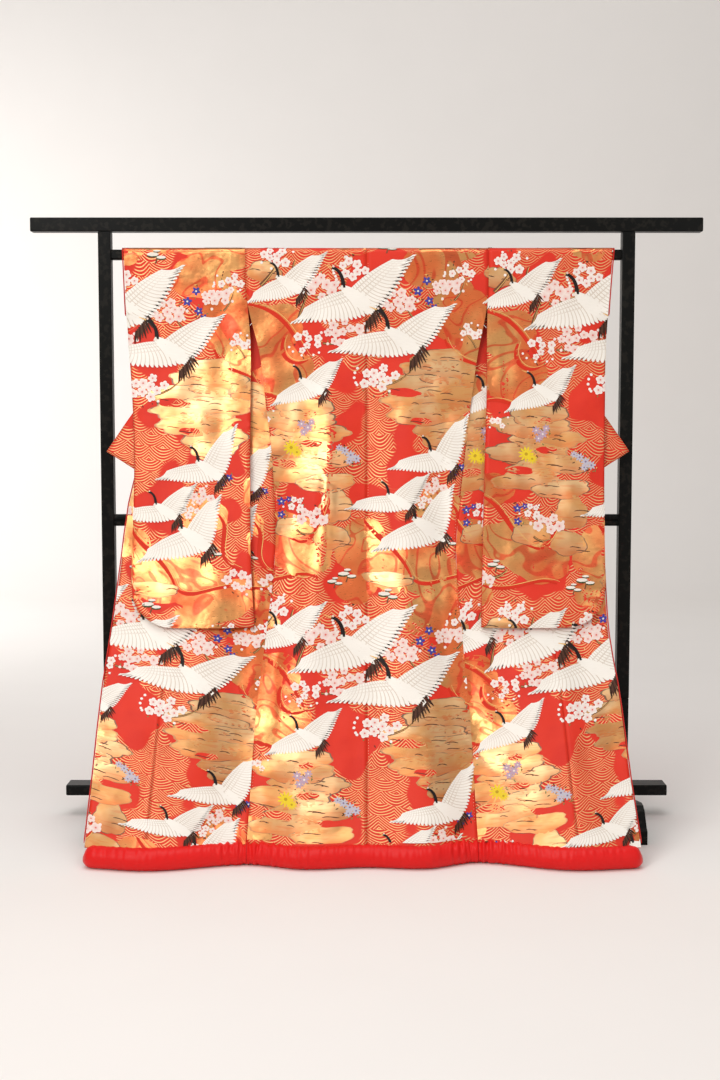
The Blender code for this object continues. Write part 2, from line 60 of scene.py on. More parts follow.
WRAP_HALF = 0.0175
WRAP_DROP = 0.0125
TRAIL = 0.483
TRAIL_POWER = 2.2
BROCADE = 0.0012
LINING = 0.0010
LINED = 0.0018
LINING_SHIFT = -0.0018
BACK_GAP = 0.040
BACK_GAP_END = 0.60
EDGE_LAG = 0.25
SLEEVE_CLEAR = 0.0065
SHOULDER_CLEAR = 0.0075
SLEEVE_OPEN = (0.033, 0.014)
SLEEVE_OPEN_END = 0.40
SLEEVE_LENGTH = 1.060
SLEEVE_CORNER = 0.110
CUFF_DEPTH = 0.215
ARM_JOIN_DEPTH = 0.165
NECK_HALF = 0.090
FOLD_SLOPE = math.tan(math.radians(24.0))
FOLD_TUCK = 0.008
COLLAR_BULGE = 0.030
COLLAR_WIDTH = 0.100
OKUMI_SHARE = 0.385
OKUMI_POINT = 0.30
ROLL_HEIGHT = 0.055
ROLL_DEPTH = 0.058
ROLL_AHEAD = 0.006
PIPING = 0.0017

SIDE_SEAM = (  # depth, left, right
    (0.000, 0.3330, 0.3330),
    (0.165, 0.3260, 0.3310),
    (0.310, 0.2920, 0.3040),
    (0.440, 0.2760, 0.2860),
    (0.600, 0.2570, 0.2670),
    (0.850, 0.2470, 0.2410),
    (1.090, 0.2690, 0.2550),
    (1.310, 0.2910, 0.2700),
    (1.640, 0.3010, 0.2790),
)
FRONT_EDGE = (  # depth, left, right
    (0.630, 0.6280, 0.6360),
    (0.720, 0.6480, 0.6400),
    (0.900, 0.6660, 0.6420),
    (1.080, 0.6810, 0.6440),
    (1.240, 0.6940, 0.6600),
    (1.480, 0.7010, 0.6720),
    (1.640, 0.7030, 0.6800),
)
COLLAR_ROWS = (  # depth at the fold, share of the collar seam
    (0.025, 0.03),
    (0.075, 0.16),
    (0.130, 0.30),
    (0.190, 0.46),
    (0.250, 0.62),
    (0.310, 0.75),
    (0.375, 0.88),
    (0.440, 1.00),
)
SKIRT_ROWS = (  # depth at the side seam, depth at the front edge
    (0.440, 0.630),
    (0.600, 0.800),
    (0.800, 0.940),
    (1.000, 1.080),
    (1.200, 1.240),
    (1.400, 1.420),
    (1.640, 1.640),
)
SLEEVE_EDGES = (  # depth, left inner, left outer, right inner, right outer
    (0.000, 0.3336, 0.6660, 0.3336, 0.6760),
    (0.165, 0.3266, 0.6600, 0.3316, 0.6640),
    (0.280, 0.3180, 0.6530, 0.3300, 0.6570),
    (0.420, 0.3170, 0.6420, 0.3290, 0.6530),
    (0.600, 0.3170, 0.6340, 0.3220, 0.6490),
    (0.860, 0.3120, 0.6340, 0.3120, 0.6440),
    (1.060, 0.2990, 0.6280, 0.3050, 0.6400),
)
HEM_PLAN = (  # x, offset
    (-0.705, -0.002),
    (-0.540, -0.030),
    (-0.301, 0.024),
    (-0.160, -0.016),
    (0.000, 0.000),
    (0.150, -0.010),
    (0.279, 0.042),
    (0.500, -0.024),
    (0.685, -0.006),
)
FOLDS = (  # top x, top depth, low x, low depth, rise, reach
    (-0.085, 0.25, -0.165, 1.45, -0.016, 0.055),
    (-0.190, 0.55, -0.245, 1.30, 0.010, 0.045),
    (0.110, 0.30, 0.125, 1.50, -0.013, 0.060),
    (0.200, 0.60, 0.215, 1.35, 0.008, 0.040),
    (0.000, 0.20, 0.000, 1.40, 0.006, 0.045),
    (-0.420, 0.85, -0.450, 1.70, -0.012, 0.060),
    (-0.590, 0.90, -0.620, 1.70, 0.008, 0.050),
    (0.400, 0.85, 0.420, 1.70, -0.011, 0.060),
    (0.560, 0.90, 0.600, 1.70, 0.008, 0.050),
)
# ---- soft creases that only the fine cloth has -----------------------------------------------
BODY_CREASES = (  # x, depth, x, depth, rise, reach
    (-0.085, 0.42, -0.125, 0.98, -0.0060, 0.019),
    (-0.118, 0.50, -0.160, 0.90, 0.0040, 0.016),
    (-0.200, 0.98, -0.232, 1.42, -0.0050, 0.018),
    (-0.245, 0.70, -0.262, 1.10, 0.0030, 0.015),
    (0.052, 0.55, 0.040, 1.05, -0.0030, 0.018),
    (0.232, 0.40, 0.226, 0.98, -0.0036, 0.014),
    (0.170, 0.80, 0.196, 1.30, -0.0030, 0.020),
    (0.020, 0.85, 0.028, 1.45, 0.0028, 0.022),
    (-0.035, 1.05, -0.060, 1.58, -0.0030, 0.020),
    (-0.262, 0.95, -0.330, 1.08, -0.0030, 0.017),
    (-0.268, 1.12, -0.350, 1.30, -0.0032, 0.018),
    (0.250, 1.12, 0.330, 1.18, -0.0034, 0.017),
    (0.262, 1.28, 0.360, 1.33, -0.0036, 0.019),
    (0.268, 1.40, 0.390, 1.50, 0.0030, 0.020),
    (-0.285, 1.38, -0.400, 1.56, 0.0030, 0.020),
    (-0.505, 1.00, -0.560, 1.60, -0.0040, 0.024),
    (-0.640, 1.10, -0.665, 1.60, 0.0030, 0.022),
    (0.495, 1.00, 0.540, 1.55, -0.0040, 0.024),
    (0.300, 1.05, 0.345, 1.60, -0.0040, 0.022),
    (0.610, 1.10, 0.645, 1.60, 0.0030, 0.022),
)
SLEEVE_CREASES = (  # x, depth, x, depth, rise, reach
    (-0.560, 0.06, -0.540, 0.62, -0.0022, 0.028),
    (-0.400, 0.10, -0.380, 0.80, 0.0020, 0.024),
    (-0.600, 0.62, -0.560, 1.03, -0.0024, 0.020),
    (-0.470, 0.70, -0.450, 1.04, 0.0020, 0.022),
    (0.380, 0.15, 0.372, 0.70, -0.0024, 0.022),
    (0.520, 0.05, 0.500, 0.50, 0.0020, 0.030),
    (0.600, 0.55, 0.570, 0.98, -0.0022, 0.022),
    (0.440, 0.62, 0.455, 1.03, -0.0022, 0.020),
    (0.390, 0.78, 0.400, 1.04, 0.0018, 0.018),
)
SIDES = (("left", -1), ("right", 1))


def smooth(share):
    share = min(1.0, max(0.0, share))
    return share * share * (3.0 - 2.0 * share)


def lerp(first, last, share):
    return first + (last - first) * share


def read(rows, at, column):
    """Value of a column at a place in the first column, on a curve through the rows."""
    if at <= rows[0][0]:
        return rows[0][column]
    if at >= rows[-1][0]:
        return rows[-1][column]
    index = next(i for i in range(len(rows) - 1) if at <= rows[i + 1][0])
    start, stop = rows[index], rows[index + 1]
    before = rows[max(0, index - 1)]
    after = rows[min(len(rows) - 1, index + 2)]
    span = stop[0] - start[0]
    share = (at - start[0]) / span
    slope_in = (stop[column] - before[column]) / (stop[0] - before[0]) * span
    slope_out = (after[column] - start[column]) / (after[0] - start[0]) * span
    square, cube = share * share, share ** 3
    return ((2 * cube - 3 * square + 1) * start[column] + (cube - 2 * square + share) * slope_in
            + (3 * square - 2 * cube) * stop[column] + (cube - square) * slope_out)


# ---- how the cloth hangs ---------------------------------------------------------------------
FALL_STEP = 0.01


def fall_table():
    """How far down the trailing cloth is, for each step along it."""
    heights = [0.0]
    while FALL_STEP * len(heights) <= CLOTH_LENGTH + FALL_STEP:
        middle = FALL_STEP * (len(heights) - 0.5) / CLOTH_LENGTH
        run = TRAIL * TRAIL_POWER / CLOTH_LENGTH * middle ** (TRAIL_POWER - 1.0)
        heights.append(heights[-1] + FALL_STEP * math.sqrt(1.0 - run * run))
    return heights


FALL = fall_table()


def height(depth):
    if depth < WRAP_DEPTH:
        turn = math.pi / 2 * max(0.0, depth) / WRAP_DEPTH
        return CLOTH_TOP - WRAP_DROP * (1.0 - math.cos(turn))
    place = (depth - WRAP_DEPTH) / FALL_STEP
    index = min(int(place), len(FALL) - 2)
    return CLOTH_TOP - WRAP_DROP - lerp(FALL[index], FALL[index + 1], place - index)


def wrap(depth):
    return math.sin(math.pi / 2 * min(1.0, max(0.0, depth) / WRAP_DEPTH))


def trail(depth):
    return TRAIL * (max(0.0, depth) / CLOTH_LENGTH) ** TRAIL_POWER


def creases(rows, x, depth):
    """Soft troughs and ridges along straight lines in the cloth, fading out at both ends."""
    offset = 0.0
    for x0, d0, x1, d1, rise, reach in rows:
        run, drop = x1 - x0, d1 - d0
        square = run * run + drop * drop
        share = ((x - x0) * run + (depth - d0) * drop) / square
        if -0.05 < share < 1.05:
            across = ((x - x0) * drop - (depth - d0) * run) / math.sqrt(square) / reach
            if abs(across) < 3.0:
                offset += rise * smooth(min(share, 1.0 - share) / 0.4) * math.exp(-across * across)
    return offset


def ripples(x, depth):
    offset = read(HEM_PLAN, x, 1) * smooth((depth - 0.75) / (CLOTH_LENGTH - 0.75))
    for top_x, top, low_x, low, rise, reach in FOLDS:
        share = (depth - top) / (low - top)
        window = smooth(min(share, 1.0 - share) / 0.35)
        across = (x - lerp(top_x, low_x, share)) / reach
        offset += rise * window * math.exp(-across * across)
    return offset


def unevenness(x, depth):
    """The slight rise and fall of cloth that hangs free, in no exact repeat."""
    swell = 0.0011 * math.sin(47.0 * x + 9.0 * depth) * math.sin(29.0 * depth - 7.0 * x + 1.3)
    swell += 0.0008 * math.sin(83.0 * x - 17.0 * depth + 0.7) * math.sin(21.0 * depth + 0.4)
    swell += 0.0006 * math.sin(61.0 * depth + 19.0 * x)
    return swell * smooth((depth - 0.04) / 0.10)


def back_y(x, depth):
    return wrap(depth) * (-WRAP_HALF - trail(depth)) + ripples(x, depth)


def front_y(x, depth):
    gap = BACK_GAP * (1.0 - smooth(depth / BACK_GAP_END))
    lag = EDGE_LAG * smooth((abs(x) - 0.27) / 0.38) * (1.0 - smooth((depth - 0.60) / 0.70))
    return -WRAP_HALF - trail(depth) * (1.0 - lag) + gap + ripples(x, depth)


def placed(x, y, z):
    return Vector((x, RAIL_Y + y, z))


def fine(x, depth):
    """How far the fine cloth's soft creases and unevenness stand out at a place."""
    return creases(BODY_CREASES, x, depth) + unevenness(x, depth)


def on_back(x, depth):
    return placed(x, back_y(x, depth) + fine(x, depth), height(depth))


def on_front(x, depth):
    return placed(x, front_y(x, depth) + fine(x, depth), height(depth))


def column_of(side):
    return 1 if side < 0 else 2


def side_half(side, depth):
    return read(SIDE_SEAM, depth, column_of(side))


def back_half(side, depth):
    """The back's half width with what it reaches over the side seam."""
    return side_half(side, depth) + 2 * SEAM


def edge_half(side, depth):
    return read(FRONT_EDGE, depth, column_of(side))


def collar_seam(side, share):
    end_x, end_depth = edge_half(side, FRONT_EDGE[0][0]), FRONT_EDGE[0][0]
    run, drop = end_x - NECK_HALF, end_depth
    length = math.hypot(run, drop)
    bulge = COLLAR_BULGE * 4.0 * share * (1.0 - share)
    return NECK_HALF + run * share + bulge * drop / length, drop * share - bulge * run / length


def sleeve_edges(side, depth):
    first = 1 if side < 0 else 3
    inner = read(SLEEVE_EDGES, depth, first)
    if depth <= ARM_JOIN_DEPTH:
        inner = back_half(side, depth)
    return inner, read(SLEEVE_EDGES, depth, first + 1)


def spaced(start, stop, step):
    count = max(1, round((stop - start) / step))
    return [lerp(start, stop, i / count) for i in range(count + 1)]


WRAP_ROWS = [0.0005, 0.005, 0.010, 0.015, 0.020, 0.025]
GRID = 0.0105              # the cloth grids' cell size


# ---- a piece of cloth as a grid --------------------------------------------------------------
class Panel:
    """Places on a piece of cloth. "a" runs across from the robe's middle and "b" runs down."""

    def __init__(self, place, cloth, across, down, outward):
        self.across, self.down, self.outward, self.cloth = across, down, outward, cloth
        self.points = [[place(a, b) for a in across] for b in down]
        self.normals = []
        rows, columns = len(down), len(across)
        for i in range(rows):
            row = []
            for j in range(columns):
                left, right = self.points[i][max(0, j - 1)], self.points[i][min(columns - 1, j + 1)]
                up, low = self.points[max(0, i - 1)][j], self.points[min(rows - 1, i + 1)][j]
                normal = (right - left).cross(low - up)
                if normal.length < 1e-12:
                    normal = self.normals[i - 1][j] * outward if i else Vector((0.0, 1.0, 0.0))
                row.append(normal.normalized() * outward)
            self.normals.append(row)

    def at(self, a, b, lift):
        j, s = cell(self.across, a)
        i, t = cell(self.down, b)
        w00, w01, w10, w11 = (1 - t) * (1 - s), (1 - t) * s, t * (1 - s), t * s
        p0, p1, n0, n1 = self.points[i], self.points[i + 1], self.normals[i], self.normals[i + 1]
        return (p0[j] * w00 + p0[j + 1] * w01 + p1[j] * w10 + p1[j + 1] * w11
                + (n0[j] * w00 + n0[j + 1] * w01 + n1[j] * w10 + n1[j + 1] * w11) * lift)


def cell(values, at):
    index = min(max(bisect.bisect_right(values, at) - 1, 0), len(values) - 2)
    return index, (at - values[index]) / (values[index + 1] - values[index])


def linked(name, data):
    made = bpy.data.objects.new(name, data)
    bpy.context.scene.collection.objects.link(made)
    return made


def new_mesh(name, points, faces, flat_faces=0, kinds=(), places=()):
    """A mesh, smooth but for its last faces. "places" are the points' own places in the cloth."""
    mesh = bpy.data.meshes.new(name)
    mesh.from_pydata(points, [], faces)
    smooth_faces = len(faces) - flat_faces
    mesh.polygons.foreach_set("use_smooth", [True] * smooth_faces + [False] * flat_faces)
    if kinds:
        mesh.polygons.foreach_set("material_index", kinds)
    if places:
        layer = mesh.uv_layers.new(name="cloth")
        layer.data.foreach_set("uv", [c for loop in mesh.loops for c in places[loop.vertex_index]])
    return mesh


def finished(name, mesh, materials, replaced=()):
    """Makes an object of a mesh and rides it on the robe's one body."""
    for material in materials:
        mesh.materials.append(material)
    piece = linked(name, mesh)
    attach(piece, "root")
    if replaced:
        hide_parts(*replaced)
    return piece


def shell(name, panel, thickness, materials, replaced=(), shift=0.0):
    """A thin closed shell on a panel. Its faces to the outside take the first material."""
    rows, columns = len(panel.down), len(panel.across)
    points, places = [], []
    for lift in (shift + thickness / 2, shift - thickness / 2):
        for i in range(rows):
            for j in range(columns):
                points.append(panel.points[i][j] + panel.normals[i][j] * lift)
                places.append(panel.cloth(panel.across[j], panel.down[i]))
    layer = rows * columns
    faces, kinds = [], []

    def add(ring, kind, flip):
        faces.append(ring[::-1] if flip else ring)
        kinds.append(kind)

    flip = panel.outward < 0
    for i in range(rows - 1):
        for j in range(columns - 1):
            k = i * columns + j
            ring = (k, k + 1, k + columns + 1, k + columns)
            add(ring, 0, flip)
            add(tuple(v + layer for v in ring), 1, not flip)
    rim = list(range(columns))
    rim += [i * columns + columns - 1 for i in range(1, rows)]
    rim += [(rows - 1) * columns + j for j in range(columns - 2, -1, -1)]
    rim += [i * columns for i in range(rows - 2, 0, -1)]
    for first, second in zip(rim, rim[1:] + rim[:1]):
        add((first, first + layer, second + layer, second), 0, flip)
    mesh = new_mesh(name, points, faces, len(rim), kinds, places)
    return finished(name, mesh, materials, replaced)


# ---- materials -------------------------------------------------------------------------------
class Shade:
    """A material with short ways to add and join nodes."""

    def __init__(self, name):
        self.material = bpy.data.materials.new(name)
        self.material.use_nodes = True
        self.tree = self.material.node_tree
        self.shader = self.tree.nodes["Principled BSDF"]

    def node(self, kind, inputs=None, **settings):
        made = self.tree.nodes.new(kind)
        for key, value in settings.items():
            setattr(made, key, value)
        for key, value in (inputs or {}).items():
            self.join(value, made.inputs[key])
        return made

    def join(self, value, socket):
        if isinstance(value, bpy.types.NodeSocket):
            self.tree.links.new(value, socket)
        elif isinstance(value, bpy.types.Node):
            self.tree.links.new(value.outputs[0], socket)
        else:
            socket.default_value = value

    def math(self, operation, first, second=0.0):
        return self.node("ShaderNodeMath", {0: first, 1: second}, operation=operation).outputs[0]

    def times(self, first, second):
        return self.math("MULTIPLY", first, second)

    def from_middle(self, value):
        """How far a share is from 0.5."""
        return self.math("ABSOLUTE", self.math("SUBTRACT", value, 0.5))

    def cloth_place(self):
        return self.node("ShaderNodeUVMap", uv_map="cloth").outputs[0]

    def own_place(self):
        return self.node("ShaderNodeTexCoord").outputs["Object"]

    def split(self, vector):
        return self.node("ShaderNodeSeparateXYZ", {0: vector}).outputs

    def feather_parts(self):
        return self.split(self.node("ShaderNodeAttribute", attribute_name="feather").outputs["Vector"])

    def ramp(self, value, low, high):
        """0 below low, 1 above high, smooth between."""
        made = self.node("ShaderNodeMapRange", {"Value": value, "From Min": low, "From Max": high},
                         interpolation_type="SMOOTHSTEP")
        return made.outputs[0]

    def mixed(self, kind, sockets, values):
        made = self.node("ShaderNodeMix", data_type=kind)
        for socket, value in zip(sockets, values):
            self.join(value, made.inputs[socket])
        return made

    def mix(self, share, first, second):
        return self.mixed("RGBA", (0, 6, 7), (share, first, second)).outputs[2]

    def blend(self, share, first, second):
        return self.mixed("FLOAT", (0, 2, 3), (share, first, second)).outputs[0]

    def set(self, **values):
        for key, value in values.items():
            self.join(value, self.shader.inputs[key.replace("_", " ")])

    def stretched(self, vector, x, y, z=1.0):
        return self.node("ShaderNodeVectorMath", {0: vector, 1: (x, y, z)},
                         operation="MULTIPLY").outputs[0]

    def noise(self, vector, scale, detail=2.0, distortion=0.0):
        return self.node("ShaderNodeTexNoise", {"Vector": vector, "Scale": scale, "Detail": detail,
                                                "Distortion": distortion})

    def bumped(self, height_socket, distance, strength=1.0, under=None):
        inputs = {"Height": height_socket, "Distance": distance, "Strength": strength}
        if under is not None:
            inputs["Normal"] = under
        return self.node("ShaderNodeBump", inputs).outputs[0]


def rgb(red, green, blue):
    return (red, green, blue, 1.0)


RED = rgb(0.740, 0.026, 0.010)
DEEP_RED = rgb(0.620, 0.012, 0.007)
ORANGE = rgb(0.780, 0.165, 0.040)
GOLD = rgb(0.780, 0.370, 0.125)
PALE_GOLD = rgb(0.860, 0.530, 0.260)
THREAD_X, THREAD_Y = 520.0, 880.0     # threads to the metre
FAN_DRIFT = 0.060                     # how far the fans wander off their rows
FAN_WIDE, FAN_TALL, FAN_RISE, LINE_SPACING = 0.068, 0.036, 0.021, 0.0080     # combed gold lines


def woven(shade, cloth, strength=0.35):
    """Fine ribs of the weave and small uneven threads, as a normal."""
    ribs = shade.node("ShaderNodeTexWave", {"Vector": shade.stretched(cloth, THREAD_X, THREAD_Y),
                                            "Scale": 0.31, "Distortion": 1.2, "Detail": 1.0},
                      bands_direction="DIAGONAL")
    slubs = shade.noise(shade.stretched(cloth, 60.0, 420.0), 1.0, 2.0)
    total = shade.math("ADD", ribs.outputs[1], slubs.outputs[0])
    return shade.bumped(total, 0.0004, strength), slubs.outputs[0]


def ground_material():
    """Red ground with combed gold lines like fans of waves, plain red in places."""
    shade = Shade("brocade_ground")
    cloth = shade.cloth_place()
    drift = shade.noise(cloth, 6.0, 1.5)
    parts, pushes = shade.split(cloth), shade.split(drift.outputs[1])
    along, down = (shade.math("ADD", shade.times(pushes[axis], FAN_DRIFT), parts[axis])
                   for axis in (0, 1))
    row = shade.times(shade.math("FLOOR", shade.math("DIVIDE", down, FAN_TALL)), 0.5)
    turn = shade.times(shade.math("ADD", shade.math("DIVIDE", along, FAN_WIDE), row), math.pi)
    arc = shade.times(shade.math("ABSOLUTE", shade.math("SINE", turn)), FAN_RISE)
    rings = shade.math("FRACT", shade.math("DIVIDE", shade.math("SUBTRACT", down, arc), LINE_SPACING))
    line = shade.ramp(shade.from_middle(rings), 0.31, 0.37)
    where = shade.ramp(shade.noise(cloth, 6.3, 1.0).outputs[0], 0.455, 0.480)
    line = shade.times(line, where)
    weave, slubs = woven(shade, cloth)
    deep = shade.ramp(shade.noise(cloth, 11.0, 2.0).outputs[0], 0.35, 0.70)
    red = shade.mix(shade.times(deep, 0.45), RED, DEEP_RED)
    red = shade.mix(shade.times(slubs, 0.08), red, ORANGE)
    gold = shade.mix(slubs, GOLD, PALE_GOLD)
    shade.set(Base_Color=shade.mix(line, red, gold))
    shade.set(Metallic=shade.times(line, 0.55))
    shade.set(Roughness=shade.blend(line, shade.blend(slubs, 0.42, 0.56), 0.34))
    shade.set(Normal=shade.bumped(line, 0.0005, 0.5, weave))
    shade.set(Sheen_Weight=0.03, Sheen_Roughness=0.4, Specular_IOR_Level=0.28)
    return shade.material


def gold_material():
    """Flat gold foil thread with a darker, finely combed grain."""
    shade = Shade("brocade_gold")
    cloth = shade.cloth_place()
    weave, slubs = woven(shade, cloth, 0.03)
    broad = shade.ramp(shade.noise(cloth, 9.0, 3.0, 0.6).outputs[0], 0.36, 0.66)
    comb = shade.noise(shade.stretched(cloth, 22.0, 150.0), 1.0, 1.0).outputs[0]
    parts = shade.feather_parts()
    colour = shade.mix(broad, GOLD, PALE_GOLD)
    colour = shade.mix(shade.times(shade.ramp(parts[2], 0.25, 1.0), 0.60), colour, ORANGE)
    colour = shade.mix(shade.times(shade.ramp(comb, 0.52, 0.70), 0.35), colour, ORANGE)
    edge = shade.ramp(parts[1], 0.935, 0.965)
    strong = shade.blend(shade.ramp(broad, 0.3, 0.7), 0.25, 0.85)
    colour = shade.mix(shade.times(edge, strong), colour, rgb(*BROWN))
    shade.set(Base_Color=colour, Metallic=shade.blend(edge, 0.80, 0.2))
    waves = shade.noise(cloth, 20.0, 1.0).outputs[0]
    shade.set(Roughness=shade.blend(slubs, 0.29, 0.37), Normal=shade.bumped(waves, 0.0042, 0.5, weave))
    shade.set(Anisotropic=0.35, Specular_IOR_Level=0.6, Coat_Weight=0.12, Coat_Roughness=0.30)
    return shade.material


def stream_material():
    """Orange satin in which paler and darker bands flow."""
    shade = Shade("brocade_stream")
    cloth = shade.cloth_place()
    weave, slubs = woven(shade, cloth, 0.05)
    drift = shade.noise(cloth, 5.0, 2.0, 0.8)
    swirl = shade.math("FRACT", shade.times(drift.outputs[0], 9.0))
    line = shade.ramp(shade.from_middle(swirl), 0.36, 0.44)
    broad = shade.ramp(shade.noise(cloth, 6.0, 2.0).outputs[0], 0.40, 0.62)
    colour = shade.mix(broad, ORANGE, GOLD)
    colour = shade.mix(shade.times(line, 0.65), colour, RED)
    shade.set(Base_Color=colour, Metallic=shade.blend(broad, 0.60, 0.90))
    waves = shade.noise(cloth, 22.0, 2.0).outputs[0]
    shade.set(Roughness=shade.blend(slubs, 0.22, 0.38), Normal=shade.bumped(waves, 0.0045, 0.5, weave))
    shade.set(Anisotropic=0.3, Specular_IOR_Level=0.55, Coat_Weight=0.12, Coat_Roughness=0.28)
    return shade.material


def feather_material():
    """White floss silk in feathers. "feather" holds the feather's number and the way to its tip."""
    shade = Shade("figure_feather")
    parts = shade.feather_parts()
    across = shade.math("FRACT", parts[0])
    line = shade.times(shade.ramp(shade.from_middle(across), 0.34, 0.43), parts[2])
    rows = shade.times(parts[1], 7.0)
    shift = shade.times(shade.math("FLOOR", rows), 0.5)
    brick = shade.math("FRACT", shade.math("ADD", parts[0], shift))
    arc = shade.math("POWER", shade.from_middle(brick), 2.0)
    scale = shade.math("FRACT", shade.math("ADD", rows, arc))
    inner = shade.math("SUBTRACT", 1.0, shade.ramp(parts[1], 0.40, 0.46))
    scale = shade.times(shade.ramp(scale, 0.74, 0.86), inner)
    line = shade.math("MAXIMUM", line, shade.times(scale, parts[2]))
    cloth = shade.cloth_place()
    weave, slubs = woven(shade, cloth, 0.25)
    white = shade.mix(slubs, rgb(0.93, 0.88, 0.81), rgb(0.86, 0.80, 0.72))
    shade.set(Base_Color=shade.mix(shade.times(line, 0.58), white, rgb(0.46, 0.33, 0.22)))
    shade.set(Roughness=0.42, Normal=shade.bumped(line, 0.0002, -0.3, weave))
    shade.set(Sheen_Weight=0.1, Sheen_Roughness=0.35, Specular_IOR_Level=0.5)
    return shade.material


def thread_material():
    """Floss silk of any colour, taken from the piece's own tint."""
    shade = Shade("figure_thread")
    tint = shade.node("ShaderNodeAttribute", attribute_name="tint").outputs["Color"]
    cloth = shade.cloth_place()
    weave, slubs = woven(shade, cloth, 0.35)
    shade.set(Base_Color=shade.mix(shade.times(slubs, 0.08), tint, rgb(0.20, 0.09, 0.05)))
    shade.set(Roughness=shade.blend(slubs, 0.38, 0.52), Normal=weave)
    shade.set(Sheen_Weight=0.02, Sheen_Roughness=0.4, Specular_IOR_Level=0.12)
    return shade.material


def silk_material(name, colour, darker, rough, sheen):
    """Plain silk with a fine rib and slight unevenness, placed by the object's own space."""
    shade = Shade(name)
    place = shade.own_place()
    ribs = shade.node("ShaderNodeTexWave", {"Vector": place, "Scale": 210.0, "Distortion": 2.0,
                                            "Detail": 1.0}, bands_direction="Z")
    cloudy = shade.noise(place, 14.0, 3.0).outputs[0]
    slubs = shade.noise(shade.stretched(place, 60.0, 60.0, 500.0), 1.0).outputs[0]
    shade.set(Base_Color=shade.mix(shade.times(cloudy, 0.5), colour, darker))
    shade.set(Roughness=shade.blend(slubs, rough - 0.05, rough + 0.08))
    shade.set(Normal=shade.bumped(shade.math("ADD", ribs.outputs[1], slubs), 0.0003, 0.3))
    shade.set(Sheen_Weight=sheen, Sheen_Roughness=0.35, Specular_IOR_Level=0.20)
    return shade.material


def lacquer_material():
    """Black lacquer: satin, with a very slight waviness and paler rubbed edges."""
    shade = Shade("black_lacquer")
    place = shade.own_place()
    cloudy = shade.noise(place, 5.0, 3.0).outputs[0]
    brush = shade.noise(shade.stretched(place, 6.0, 180.0, 60.0), 1.0).outputs[0]
    worn = shade.ramp(shade.node("ShaderNodeNewGeometry").outputs["Pointiness"], 0.53, 0.60)
    specks = shade.ramp(shade.noise(place, 70.0, 2.0).outputs[0], 0.52, 0.62)
    worn = shade.times(worn, specks)
    black = shade.mix(cloudy, rgb(0.004, 0.004, 0.004), rgb(0.007, 0.007, 0.006))
    shade.set(Base_Color=shade.mix(shade.times(worn, 0.2), black, rgb(0.06, 0.05, 0.04)))
    shade.set(Roughness=shade.blend(brush, 0.28, 0.42), Normal=shade.bumped(brush, 0.0002, 0.25))
    shade.set(Coat_Weight=0.03, Coat_Roughness=0.2, Specular_IOR_Level=0.08)
    return shade.material


WHITE = (0.86, 0.79, 0.70)
BLACK = (0.012, 0.011, 0.012)
BROWN = (0.085, 0.035, 0.022)
BRANCH = (0.17, 0.075, 0.035)
BLOSSOM = (0.91, 0.76, 0.70)
BLOSSOM_PALE = (0.93, 0.86, 0.80)
BLOSSOM_HEART = (0.72, 0.16, 0.12)
BLUE = (0.055, 0.055, 0.33)
YELLOW = (0.85, 0.62, 0.03)
LILAC = (0.52, 0.36, 0.46)
GREEN = (0.20, 0.22, 0.07)
VERMILION = (0.66, 0.03, 0.012)
GOLD_LINE = (0.86, 0.50, 0.16)
CROWN = (0.80, 0.60, 0.50)
NEEDLES = (0.06, 0.075, 0.03)

GROUND, CLOUD, STREAM = ground_material(), gold_material(), stream_material()
FEATHER, THREAD = feather_material(), thread_material()
LINING_SILK = silk_material("red_lining_silk", rgb(0.62, 0.020, 0.012), rgb(0.40, 0.008, 0.006),
                            0.42, 0.04)
HEM_SILK = silk_material("red_hem_silk", rgb(0.780, 0.013, 0.012), rgb(0.660, 0.008, 0.008),
                         0.34, 0.0)
LACQUER = lacquer_material()

# ---- the woven design, drawn in flat cloth ---------------------------------------------------
TILE_X, TILE_Y = 0.650, 0.960          # the design's repeat
TILE_EDGE = 0.05                       # how far round a panel figures are still looked for
KIND_FEATHER, KIND_THREAD, KIND_CLOUD, KIND_STREAM, KIND_GROUND = range(5)
FIGURE_MATERIALS = (FEATHER, THREAD, CLOUD, STREAM, GROUND)
LIFT_FIELD, LIFT_CLOUD, LIFT_MARK, LIFT_BRANCH = 0.00030, 0.00050, 0.00070, 0.00080
LIFT_BLOSSOM, LIFT_WING, LIFT_BODY, LIFT_NECK = 0.00095, 0.00120, 0.00140, 0.00160
HEART_LIFT = 0.00012                   # of a flower's heart above its petals
ANY = (1.0, 1.0, 1.0)                  # the tint of figures whose material takes none


class Figure:
    """A flat figure: points (x, depth, lift, feather x, feather y, lines, tint) and faces."""

    def __init__(self, kind):
        self.kind, self.points, self.faces = kind, [], []

    def grid(self, rows):
        """Faces over equal rows of points."""
        start, columns = len(self.points), len(rows[0])
        for row in rows:
            self.points.extend(row)
        for i in range(len(rows) - 1):
            for j in range(columns - 1):
                k = start + i * columns + j
                self.faces.append((k, k + 1, k + columns + 1, k + columns))
        return self

    def rings(self, centre, rings):
        """Faces over closed rings round a centre point."""
        start = len(self.points)
        self.points.append(centre)
        for ring in rings:
            self.points.extend(ring)
        count = len(rings[0])
        for step in range(count):
            after = (step + 1) % count
            self.faces.append((start, start + 1 + step, start + 1 + after))
            for k in range(len(rings) - 1):
                near = start + 1 + k * count
                far = near + count
                self.faces.append((near + step, far + step, far + after, near + after))
        return self


FIGURES = []


def point(x, depth, lift, tint=ANY, feather=(0.5, 1.0, 0.0)):
    return (x, depth, lift, *feather, *tint)


def bezier(points, share):
    while len(points) > 1:
        points = [(lerp(x0, x1, share), lerp(y0, y1, share))
                  for (x0, y0), (x1, y1) in zip(points, points[1:])]
    return points[0]


